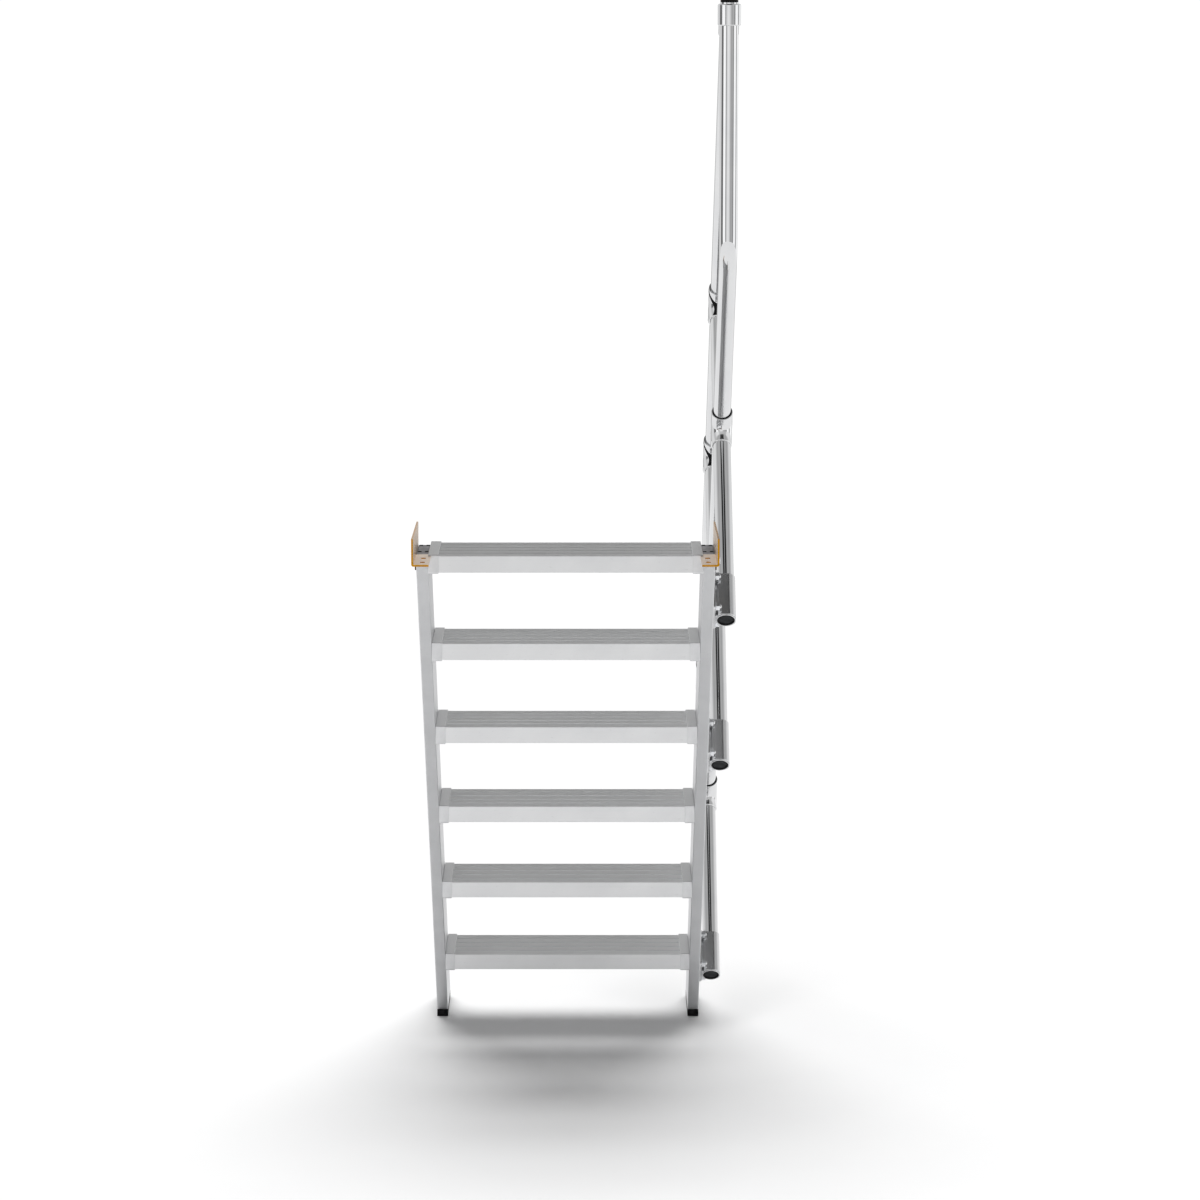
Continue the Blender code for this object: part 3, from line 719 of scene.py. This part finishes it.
def bolt_mesh(height, stud_height):
    """A hexagon, chamfered to a circle on top, on a washer; a nut's stud end shows above it."""
    hexagon = [
        (HEAD_RADIUS * math.cos(math.radians(60 * i)), HEAD_RADIUS * math.sin(math.radians(60 * i)))
        for i in range(6)
    ]
    low, high = WASHER_HEIGHT, WASHER_HEIGHT + height
    block = prism("head", hexagon, low + 0.0004, high)
    turned = lathe(
        "turned",
        [
            (0, low),
            (HEAD_RADIUS * 0.90, low),
            (HEAD_RADIUS * 1.02, low + 0.0009),
            (HEAD_RADIUS * 1.02, high - 0.0013),
            (HEAD_RADIUS * 0.80, high),
            (0, high),
        ],
        48,
        closed=False,
    )
    head = combined(block, "INTERSECT", [turned], 20)
    collar = round_bar("collar", 0.0078, low - 0.0002, low + 0.0007, 48)
    washer = lathe(
        "washer",
        filleted(
            [
                (0.0043, 0, 0),
                (WASHER_RADIUS, 0, 0.0004),
                (WASHER_RADIUS, WASHER_HEIGHT - 0.0002, 0.0005),
                (0.0043, WASHER_HEIGHT - 0.0002, 0),
            ],
            3,
        ),
        48,
    )
    stud = lathe(
        "stud",
        [
            (0, high - 0.001),
            (0.0046, high - 0.001),
            (0.0046, high + stud_height * 0.65),
            (0.0036, high + stud_height),
            (0, high + stud_height),
        ],
        48,
        closed=False,
    )
    parts = (head, collar, washer, stud) if stud_height else (head, collar, washer)
    return joined("bolt", [(part, ALONG_X, 0) for part in parts])


screw = painted(bolt_mesh(HEAD_HEIGHT, 0), BOLT)
nut = painted(bolt_mesh(TALL_HEAD, 0.0034), BOLT)
HALF_TURN = Matrix.Rotation(math.pi, 4, "Z")

# ---------------------------------------------------------------- brackets

PLATE = 0.004
bracket_box = box_in("bracket_right", STAIR)
PLATE_OUT = bracket_box[1].x
PLATE_IN = PLATE_OUT - PLATE
FLANGE_IN = bracket_box[0].x
REAR = bracket_box[0].y
FRONT = bracket_box[1].y
CREST = bracket_box[1].z
TAB_LOW = bracket_box[0].z
FLANGE_FRONT = 0.028
TAB_REAR = 0.075
NOTCH = 0.0028
NOTCH_X = 0.3003


def bracket_mesh():
    """The right bracket: a bent steel angle whose side plate runs on with a hanging tab."""
    bend = 0.0045
    angle = filleted(
        [
            (FLANGE_IN, TOP - PLATE, 0),
            (PLATE_OUT, TOP - PLATE, bend),
            (PLATE_OUT, CREST, 0),
            (PLATE_IN, CREST, 0),
            (PLATE_IN, TOP, 0.0015),
            (FLANGE_IN, TOP, 0),
        ],
        6,
    )
    rear = moved(prism("bracket", angle, -FLANGE_FRONT, -REAR), ENDWAYS)
    side = [
        (FLANGE_FRONT - 0.001, TOP - PLATE + bend),
        (FLANGE_FRONT - 0.001, TOP - PLATE),
        (TAB_REAR - 0.004, TOP - PLATE),
        (TAB_REAR, TOP - PLATE - 0.004),
        (TAB_REAR, TAB_LOW + 0.004),
        (TAB_REAR + 0.004, TAB_LOW),
        (FRONT - 0.006, TAB_LOW),
        (FRONT, TAB_LOW + 0.006),
        (FRONT, CREST - 0.006 - 0.004),
        (FRONT - 0.004, CREST - 0.006),
        (FLANGE_FRONT - 0.001, CREST),
    ]
    plate_side = side_prism("side", side, PLATE)
    plate_side.transform(Matrix.Translation(((PLATE_IN + PLATE_OUT) / 2, 0, 0)))
    crest_trim = [
        (REAR - 0.01, CREST),
        (FRONT + 0.01, CREST - 0.006),
        (FRONT + 0.01, CREST + 0.01),
        (REAR - 0.01, CREST + 0.01),
    ]
    trim = side_prism("trim", crest_trim, 0.02)
    trim.transform(Matrix.Translation(((PLATE_IN + PLATE_OUT) / 2, 0, 0)))
    notch = [
        (FLANGE_IN - 0.01, -NOTCH),
        (NOTCH_X, -NOTCH),
        (NOTCH_X, FLANGE_FRONT + 0.01),
        (FLANGE_IN - 0.01, FLANGE_FRONT + 0.01),
    ]
    cutters = [trim, prism("notch", notch, TOP - 0.02, TOP + 0.02)]
    for y in (-0.035, -0.098):
        slot = filleted(
            [
                (0.3030, y - 0.009, 0.0054),
                (0.3140, y - 0.009, 0.0054),
                (0.3140, y + 0.009, 0.0054),
                (0.3030, y + 0.009, 0.0054),
            ],
            8,
        )
        cutters.append(prism("slot", slot, TOP - 0.02, TOP + 0.02))
    body = combined(rear, "UNION", [plate_side])
    body = combined(body, "DIFFERENCE", cutters)
    body = bevelled(body, 0.0005, 2, 50)
    # Flat side and flange faces take the plain zinc; every other face takes darker copies of it as painted
    # shade, darkest on the tab's edges.
    for face in body.polygons:
        middle, normal = face.center, face.normal
        flat_side = abs(normal.x) > 0.97 and middle.z > TAB_LOW
        flat_flange = abs(normal.z) > 0.97 and middle.z < TOP + 0.001 and middle.x < PLATE_IN
        shaded_tab_edge = middle.z < TOP - PLATE - 0.0005 and middle.y > 0.05 and abs(normal.x) < 0.9
        face.material_index = 2 if shaded_tab_edge else 0 if flat_side or flat_flange else 1
    return painted(body, ZINC, ZINC_EDGE_SHADE, ZINC_TAB_SHADE)


def mirrored(mesh):
    copy = mesh.copy()
    copy.transform(Matrix.Scale(-1, 4, (1, 0, 0)))
    copy.flip_normals()
    return copy


right_bracket = bracket_mesh()
left_bracket = mirrored(right_bracket)
piece("bracket_plate_right", right_bracket, STAIR, "yellow_zinc", "bracket_right")
piece("bracket_plate_left", left_bracket, STAIR, "yellow_zinc", "bracket_left")
for side, sign in (("left", -1), ("right", 1)):
    node = f"bracket_bolt_{side}"
    low, high = box_in(node, STAIR)
    middle = (low + high) / 2
    seat = Matrix.Translation((low.x if sign > 0 else high.x, middle.y, middle.z))
    turn = Matrix.Identity(4) if sign > 0 else HALF_TURN
    piece(f"bracket_screw_{side}", screw, STAIR @ seat @ turn, "zinc_bolt", node)

# ---------------------------------------------------------------- tubes

TUBE_RADIUS = 0.020
WALL = 0.002


def tube_mesh(name, length):
    """A straight tube along Z from zero, with eased rims."""
    inner = TUBE_RADIUS - WALL
    profile = filleted(
        [
            (TUBE_RADIUS, 0, 0.0006),
            (TUBE_RADIUS, length, 0.0006),
            (inner, length, 0.0003),
            (inner, 0, 0.0003),
        ],
        2,
    )
    return lathe(name, profile, 96)


def bent_tube(name, points, radius, sides=96):
    """A solid round bar swept through points that all have the same X."""
    shape = bmesh.new()
    rings = []
    for index, point in enumerate(points):
        before = (point - points[max(index - 1, 0)]).normalized()
        after = (points[min(index + 1, len(points) - 1)] - point).normalized()
        tangent = (before + after).normalized()
        across = Vector((1, 0, 0))
        up = across.cross(tangent).normalized()
        ring = []
        for side in range(sides):
            angle = math.tau * side / sides
            ring.append(
                shape.verts.new(point + radius * (across * math.cos(angle) + up * math.sin(angle)))
            )
        rings.append(ring)
    for low, high in zip(rings, rings[1:]):
        for side in range(sides):
            after = (side + 1) % sides
            shape.faces.new((low[side], low[after], high[after], high[side]))
    shape.faces.new(rings[0][::-1])
    shape.faces.new(rings[-1])
    return mesh_from(name, shape)


for name in POSTS:
    low, high = box_in(f"post_{name}", SLOPE)
    mesh = painted(tube_mesh("post", high.z - low.z), TUBE)
    place = SLOPE @ Matrix.Translation((RAIL_X, POSTS[name], low.z))
    piece(f"post_tube_{name}", mesh, place, "polished_tube", f"post_{name}")

for name in ("handrail", "knee_rail_middle", "knee_rail_lower", "knee_rail_end"):
    low, high = box_in(name, SLOPE)
    mesh = painted(tube_mesh("rail", high.y - low.y), TUBE)
    offset = HANDRAIL if name == "handrail" else KNEE_RAIL
    place = SLOPE @ Matrix.Translation((RAIL_X, low.y, offset)) @ ALONG_Y
    piece(f"{name}_tube", mesh, place, "polished_tube", name)

END_Y = 0.150
CLASP_DROP = 0.0080
BEND = 0.095
upper_box = box_in("knee_rail_upper", STAIR)
run = math.sqrt(0.5)
first = POSTS["upper"] - TUBE_RADIUS - 0.004
start = Vector((RAIL_X, (first + KNEE_RAIL) * run, TOP + (KNEE_RAIL - first) * run))
corner = Vector((RAIL_X, END_Y, TOP + KNEE_RAIL / run - END_Y))
tangent = BEND * math.tan(math.pi / 8)
bend_centre = corner + Vector((0, BEND, tangent))
bend_points = []
for step in range(25):
    angle = math.pi + math.pi / 4 * (1 - step / 24)
    bend_points.append(bend_centre + Vector((0, math.cos(angle), math.sin(angle))) * BEND)
path = [start, *bend_points, Vector((RAIL_X, END_Y, upper_box[1].z - CLASP_DROP))]
upright = painted(bent_tube("upright", path, TUBE_RADIUS), TUBE)
piece("end_upright", upright, STAIR, "polished_tube", "knee_rail_upper")

# ---------------------------------------------------------------- rail and top caps


def cap_profile(radius, height, crown):
    return [
        (0, -0.004),
        (radius - 0.0025, -0.004),
        (radius - 0.0025, 0),
        (radius - 0.0003, 0),
        (radius, 0.0003),
        (radius, height - crown),
        (radius - 0.0006, height - crown * 0.45),
        (radius - 0.0020, height - crown * 0.12),
        (radius - 0.0042, height),
        (radius * 0.45, height + crown * 0.02),
        (0, height + crown * 0.02),
    ]


cap_mesh = painted(lathe("rail_cap", cap_profile(TUBE_RADIUS, 0.0078, 0.003), 72, closed=False), BLACK_AND_SHADE)
for name, offset in (("handrail", HANDRAIL), ("knee_rail", KNEE_RAIL)):
    low = box_in(f"{name}_end_cap", SLOPE)[1].y - 0.008
    place = SLOPE @ Matrix.Translation((RAIL_X, low, offset)) @ ALONG_Y
    piece(f"{name}_stopper", cap_mesh, place, "black_plastic", f"{name}_end_cap")

top_box = box_in("top_cap", STAIR)
top_mesh = painted(lathe("top_cap", cap_profile(0.0195, 0.0097, 0.003), 72, closed=False), BLACK_AND_SHADE)
place = STAIR @ Matrix.Translation((RAIL_X, END_Y, top_box[0].z - CLASP_DROP))
piece("top_stopper", top_mesh, place, "black_plastic", "top_cap")

# ---------------------------------------------------------------- pipe fittings

FITTING_RADIUS = 0.0240
BRANCH_RADIUS = 0.0226
RAIL_REACH = 0.060
POST_REACH = 0.052
LIP = 0.0035


def lip_profile(radius, gap):
    """The turned mouth of a socket, from its inner end at zero to its rounded rim."""
    throat = TUBE_RADIUS + gap
    return filleted(
        [
            (TUBE_RADIUS + 0.0002, -0.002, 0),
            (radius - 0.0004, -0.002, 0),
            (radius + 0.0002, 0.0002, 0),
            (radius + 0.0002, LIP, 0.0011),
            (throat, LIP, 0.0006),
            (throat, LIP - 0.0030, 0),
            (TUBE_RADIUS + 0.0002, LIP - 0.0030, 0),
        ],
        5,
    )


def gap_shade_profile(gap):
    """A black ring of painted shade set in the gap between the tube and the mouth."""
    return [
        (TUBE_RADIUS + 0.0001, LIP - 0.0032),
        (TUBE_RADIUS + gap, LIP - 0.0032),
        (TUBE_RADIUS + gap, LIP - 0.0010),
        (TUBE_RADIUS + 0.0001, LIP - 0.0010),
    ]


def mouths(name, radius, gap):
    """The lips of both rail sockets, with black rings of painted shade in the gap where it is wide enough
    to show.
    """
    items = []
    for reach in (RAIL_REACH, -RAIL_REACH):
        back = socket("Y", reach) @ Matrix.Translation((0, 0, -LIP))
        items.append((lathe("lip", lip_profile(radius, gap), 96), back, 0))
        if gap > 0.001:
            items.append((lathe("gap_shade", gap_shade_profile(gap), 96), back, 1))
    return painted(joined(name, items), FITTING, BLACK_AND_SHADE)


def socket(axis, reach):
    """The place of a mouth at a signed reach along Y or Z, facing outward."""
    if axis == "Y":
        turn = ALONG_Y if reach > 0 else Matrix.Rotation(math.pi / 2, 4, "X")
        return Matrix.Translation((0, reach, 0)) @ turn
    turn = Matrix.Identity(4) if reach > 0 else Matrix.Rotation(math.pi, 4, "X")
    return Matrix.Translation((0, 0, reach)) @ turn


short = LIP - 0.0020
cross_mesh = casting(
    "cross",
    [
        (1, FITTING_RADIUS, -RAIL_REACH + short, RAIL_REACH - short),
        (2, BRANCH_RADIUS, -POST_REACH, POST_REACH),
    ],
    0.035,
)
painted(cross_mesh, FITTING, fair=False)
cross_mouths = mouths("cross_mouths", FITTING_RADIUS, 0.0020)
tee_mesh = casting(
    "tee",
    [
        (1, FITTING_RADIUS, -RAIL_REACH + short, RAIL_REACH - short),
        (2, BRANCH_RADIUS, -POST_REACH, 0.0),
    ],
    0.035,
)
painted(tee_mesh, FITTING, fair=False)
tee_mouths = mouths("tee_mouths", FITTING_RADIUS, 0.0004)


def shade_strip_mesh():
    """A black strip of painted shade that runs across the tee from the rail's mouth to the branch."""
    proud = 0.0006
    grown = casting(
        "shade_strip",
        [
            (1, FITTING_RADIUS + proud, -RAIL_REACH + 0.0006, RAIL_REACH - 0.0006),
            (2, BRANCH_RADIUS + proud, -POST_REACH, 0.0),
        ],
        0.035,
    )
    high, low = Vector((-0.0505, 0.001)), Vector((-0.0215, -0.0485))
    way = (low - high).normalized()
    across = Vector((-way.y, way.x)) * 0.0028
    far_high, far_low = high - way * 0.060, low + way * 0.0012
    outline = [far_high + across, far_low + across, far_low - across, far_high - across]
    slab = side_prism("slab", [tuple(point) for point in outline], 0.08)
    return combined(grown, "INTERSECT", [slab], 30)


# painted shade: the black strip across each tee
shade_strip = painted(shade_strip_mesh(), BLACK_AND_SHADE)

for name, station in POSTS.items():
    place = SLOPE @ Matrix.Translation((RAIL_X, station, KNEE_RAIL))
    piece(f"cross_body_{name}", cross_mesh, place, "polished_tube", f"knee_fitting_{name}")
    piece(f"cross_mouths_{name}", cross_mouths, place, "polished_tube")
    place = SLOPE @ Matrix.Translation((RAIL_X, station, HANDRAIL))
    piece(f"tee_body_{name}", tee_mesh, place, "polished_tube", f"handrail_tee_{name}")
    piece(f"tee_mouths_{name}", tee_mouths, place, "polished_tube")
    piece(f"tee_shade_strip_{name}", shade_strip, place, "black_plastic")

# ---------------------------------------------------------------- collar at the top

COLLAR_HALF = 0.0235
COLLAR_Z = box_in("top_collar", STAIR)[1].z - COLLAR_HALF - CLASP_DROP
collar_ring = lathe(
    "collar",
    filleted(
        [
            (0.0203, -COLLAR_HALF, 0.0006),
            (0.0254, -COLLAR_HALF, 0.0026),
            (0.0254, COLLAR_HALF, 0.0026),
            (0.0203, COLLAR_HALF, 0.0006),
        ],
        6,
    ),
    96,
)
stub = lathe(
    "stub",
    filleted(
        [(0.0202, 0.004, 0), (0.0225, 0.004, 0), (0.0225, 0.070, 0.0009), (0.0202, 0.070, 0.0005)],
        4,
    ),
    96,
)
down_slope = Matrix.Rotation(-math.pi * 3 / 4, 4, "X")
raised = Matrix.Translation((0, 0, CLASP_DROP))
collar_mesh = joined("collar", [(collar_ring, here, 0), (stub, raised @ down_slope, 0)])
collar_mesh = painted(collar_mesh, FITTING)
place = STAIR @ Matrix.Translation((RAIL_X, END_Y, COLLAR_Z))
piece("top_clasp", collar_mesh, place, "polished_tube", "top_collar")

# ---------------------------------------------------------------- post sleeves

SLEEVE_LOW = 0.0175
SLEEVE_HIGH = 0.1325
BODY_LOW = 0.0195
BODY_START = -0.0180
SLEEVE_HALF = 0.0225
NECK = 0.0140
FLANGE_THICK = 0.005
flange_in = STILE_OUT + 0.0003 - RAIL_X
flange_out = flange_in + FLANGE_THICK


def sleeve_mesh():
    """The extruded foot of a post: a flat-faced body, its neck and the flange."""
    outline = filleted(
        [
            (flange_out - 0.0004, -NECK, 0),
            (BODY_START, -NECK, 0.0010),
            (BODY_START, -SLEEVE_HALF, 0.0014),
            (SLEEVE_HALF, -SLEEVE_HALF, 0.0165),
            (SLEEVE_HALF, SLEEVE_HALF, 0.0165),
            (BODY_START, SLEEVE_HALF, 0.0014),
            (BODY_START, NECK, 0.0010),
            (flange_out - 0.0004, NECK, 0),
        ],
        10,
    )
    body = bevelled(prism("sleeve", outline, BODY_LOW, SLEEVE_HIGH), 0.0011, 3, 50)
    bore = round_bar("bore", 0.0207, SLEEVE_HIGH - 0.006, SLEEVE_HIGH + 0.01)
    mouth = round_bar("mouth", 0.0205, BODY_LOW - 0.01, BODY_LOW + 0.01)
    body = combined(body, "DIFFERENCE", [bore, mouth])
    plate = filleted(
        [(-0.042, 0.0225, 0.006), (0.042, 0.0225, 0.006), (0.042, 0.1275, 0.006), (-0.042, 0.1275, 0.006)],
        6,
    )
    flange = side_prism("flange", plate, FLANGE_THICK)
    flange.transform(Matrix.Translation(((flange_in + flange_out) / 2, 0, 0)))
    flange = bevelled(flange, 0.0007, 2)
    rim = lathe(
        "rim",
        filleted(
            [
                (0.0196, SLEEVE_LOW, 0.0005),
                (0.0218, SLEEVE_LOW, 0.0009),
                (0.0218, BODY_LOW + 0.004, 0),
                (0.0196, BODY_LOW + 0.004, 0),
            ],
            4,
        ),
        96,
    )
    return joined("sleeve", [(body, here, 0), (flange, here, 0), (rim, here, 0)])


sleeve = painted(sleeve_mesh(), SLEEVE)
ring_profile = filleted(
    [(0.0163, 0.0008, 0.0006), (0.0195, 0.0008, 0.0008), (0.0195, 0.0115, 0), (0.0163, 0.0115, 0)], 3
)
disc_profile = [
    (0, 0.0022),
    (0.006, 0.0022),
    (0.013, 0.0024),
    (0.0160, 0.0027),
    (0.0164, 0.0030),
    (0.0164, 0.011),
    (0, 0.011),
]
stopper = joined(
    "stopper",
    [(lathe("ring", ring_profile, 96), here, 1), (lathe("disc", disc_profile, 96, closed=False), here, 0)],
)
stopper = painted(stopper, DISC, BLACK_AND_SHADE)

for name, station in POSTS.items():
    place = SLOPE @ Matrix.Translation((RAIL_X, station, 0))
    piece(f"sleeve_body_{name}", sleeve, place, "polished_tube", f"post_sleeve_{name}")
    plug_place = place @ Matrix.Translation((0, 0, SLEEVE_LOW))
    piece(f"sleeve_stopper_{name}", stopper, plug_place, "grey_plastic", f"sleeve_plug_{name}")
    for word in ("low", "high"):
        node = f"sleeve_bolt_{name}_{word}"
        low, high = box_in(node, SLOPE)
        middle = (low + high) / 2
        seat = Matrix.Translation((low.x, middle.y, middle.z))
        piece(f"sleeve_screw_{name}_{word}", nut, SLOPE @ seat, "zinc_bolt", node)
        mirror_y = 2 * station - middle.y
        seat = Matrix.Translation((low.x, mirror_y, middle.z))
        piece(f"sleeve_screw_{name}_{word}_far", nut, SLOPE @ seat, "zinc_bolt")

# ---------------------------------------------------------------- studio

scene = bpy.context.scene
scene.view_settings.view_transform = "Standard"

ground = Finish("pale_floor", (0.90, 0.90, 0.90), 0.0, 0.85)
specks = ground.noise(ground.place, 3.0, 3.0, 0.5)
ground.colour(ground.ramp(specks, [(0.3, (0.895, 0.895, 0.897)), (0.7, (0.905, 0.905, 0.905))]))
ground.shader.inputs["Specular IOR Level"].default_value = 0.0
disc = bmesh.new()
bmesh.ops.create_circle(disc, cap_ends=True, segments=96, radius=7.0)
floor = bpy.data.objects.new("floor", mesh_from("floor", disc))
floor.data.materials.append(ground.material)
scene.collection.objects.link(floor)

world = bpy.data.worlds.new("studio")
scene.world = world
world.use_nodes = True
world.cycles.sampling_method = "NONE"
sky = world.node_tree
background = sky.nodes["Background"]


def sky_node(kind, operation=None, *values):
    made = sky.nodes.new(kind)
    if operation:
        made.operation = operation
    for index, value in enumerate(values):
        if isinstance(value, bpy.types.NodeSocket):
            sky.links.new(value, made.inputs[index])
        else:
            made.inputs[index].default_value = value
    return made


def math_of(operation, *values):
    return sky_node("ShaderNodeMath", operation, *values).outputs[0]


def sky_ramp(factor, stops):
    made = sky_node("ShaderNodeValToRGB", None, factor)
    elements = made.color_ramp.elements
    while len(elements) < len(stops):
        elements.new(0.5)
    for element, (position, grey) in zip(elements, stops):
        element.position = position
        element.color = (grey, grey, grey, 1)
    return made.outputs[0]


def blend_of(share, first, second):
    """first where share is 0, second where it is 1, for single numbers."""
    difference = math_of("SUBTRACT", second, first)
    return sky_node("ShaderNodeMath", "MULTIPLY_ADD", difference, share, first).outputs[0]


direction = sky.nodes.new("ShaderNodeTexCoord").outputs["Generated"]
parts = sky_node("ShaderNodeSeparateXYZ", None, direction)
x, y, z = parts.outputs
azimuth = math_of("ARCTAN2", x, math_of("MULTIPLY", y, -1.0))
turn = sky_node("ShaderNodeMath", "MULTIPLY_ADD", azimuth, 0.5 / math.pi, 0.5).outputs[0]


def at(degrees):
    return 0.5 + degrees / 360


LOWER_WALLS = [
    (0.0, 0.40),
    (at(-165), 0.40),
    (at(-150), 0.66),
    (at(-112), 0.66),
    (at(-106), 0.14),
    (at(-79), 0.14),
    (at(-74), 1.0),
    (at(-45), 1.0),
    (at(-41), 0.25),
    (at(-35), 0.25),
    (at(-31), 0.60),
    (at(-11), 0.82),
    (at(3), 0.74),
    (at(16), 0.48),
    (at(28), 0.34),
    (at(41), 0.46),
    (at(47), 0.30),
    (at(60), 0.24),
    (at(63), 1.0),
    (at(92), 0.95),
    (at(97), 0.34),
    (at(110), 0.34),
    (at(115), 0.95),
    (at(140), 0.95),
    (at(150), 0.66),
    (at(165), 0.40),
    (1.0, 0.40),
]
UPPER_WALLS = [
    (0.0, 0.90),
    (at(-120), 0.90),
    (at(-100), 0.60),
    (at(-70), 1.0),
    (at(-45), 1.0),
    (at(-30), 0.70),
    (at(45), 0.60),
    (at(65), 1.0),
    (at(95), 1.0),
    (at(120), 0.90),
    (1.0, 0.90),
]
height = sky_node("ShaderNodeMapRange", None, z)
height.inputs["From Min"].default_value = -0.02
height.inputs["From Max"].default_value = 0.04
lower_walls = math_of("MULTIPLY", sky_ramp(turn, LOWER_WALLS), 1.30)
walls = blend_of(height.outputs[0], lower_walls, sky_ramp(turn, UPPER_WALLS))
sideways = math_of("ABSOLUTE", x)
CEILING = [
    (0.0, 0.13),
    (0.065, 0.13),
    (0.095, 0.015),
    (0.290, 0.015),
    (0.330, 0.46),
    (0.50, 0.50),
    (0.58, 0.56),
    (0.68, 0.42),
    (0.78, 0.58),
    (1.0, 0.66),
]
ceiling = sky_ramp(sideways, CEILING)
overhead = sky_node("ShaderNodeMapRange", None, z)
overhead.inputs["From Min"].default_value = 0.38
overhead.inputs["From Max"].default_value = 0.55
pattern = blend_of(overhead.outputs[0], walls, ceiling)
rays = sky.nodes.new("ShaderNodeLightPath")
lit = blend_of(rays.outputs["Is Glossy Ray"], 0.29, pattern)
shown = blend_of(rays.outputs["Is Camera Ray"], lit, 1.05)
sky.links.new(shown, background.inputs["Strength"])
background.inputs["Color"].default_value = (1, 1, 1, 1)

lamp = bpy.data.lights.new("overhead", "SUN")
lamp.energy = 0.85 * math.pi
lamp.angle = math.radians(54)
lamp_object = bpy.data.objects.new("overhead", lamp)
lamp_object.rotation_euler = (math.radians(-3), 0, 0)
lamp_object.visible_glossy = False
scene.collection.objects.link(lamp_object)

# ---------------------------------------------------------------- camera

camera = bpy.data.cameras.new("camera")
camera.sensor_width = 36
camera.lens = 138.99
camera.shift_x = 0.01482
camera.clip_end = 100
camera_object = bpy.data.objects.new("camera", camera)
scene.collection.objects.link(camera_object)
camera_object.matrix_world = (
    STAIR
    @ Matrix.Translation((0.03623, -9.99492, TOP + 1.39334))
    @ Matrix.Rotation(math.radians(90 - 8.4795), 4, "X")
)
scene.camera = camera_object
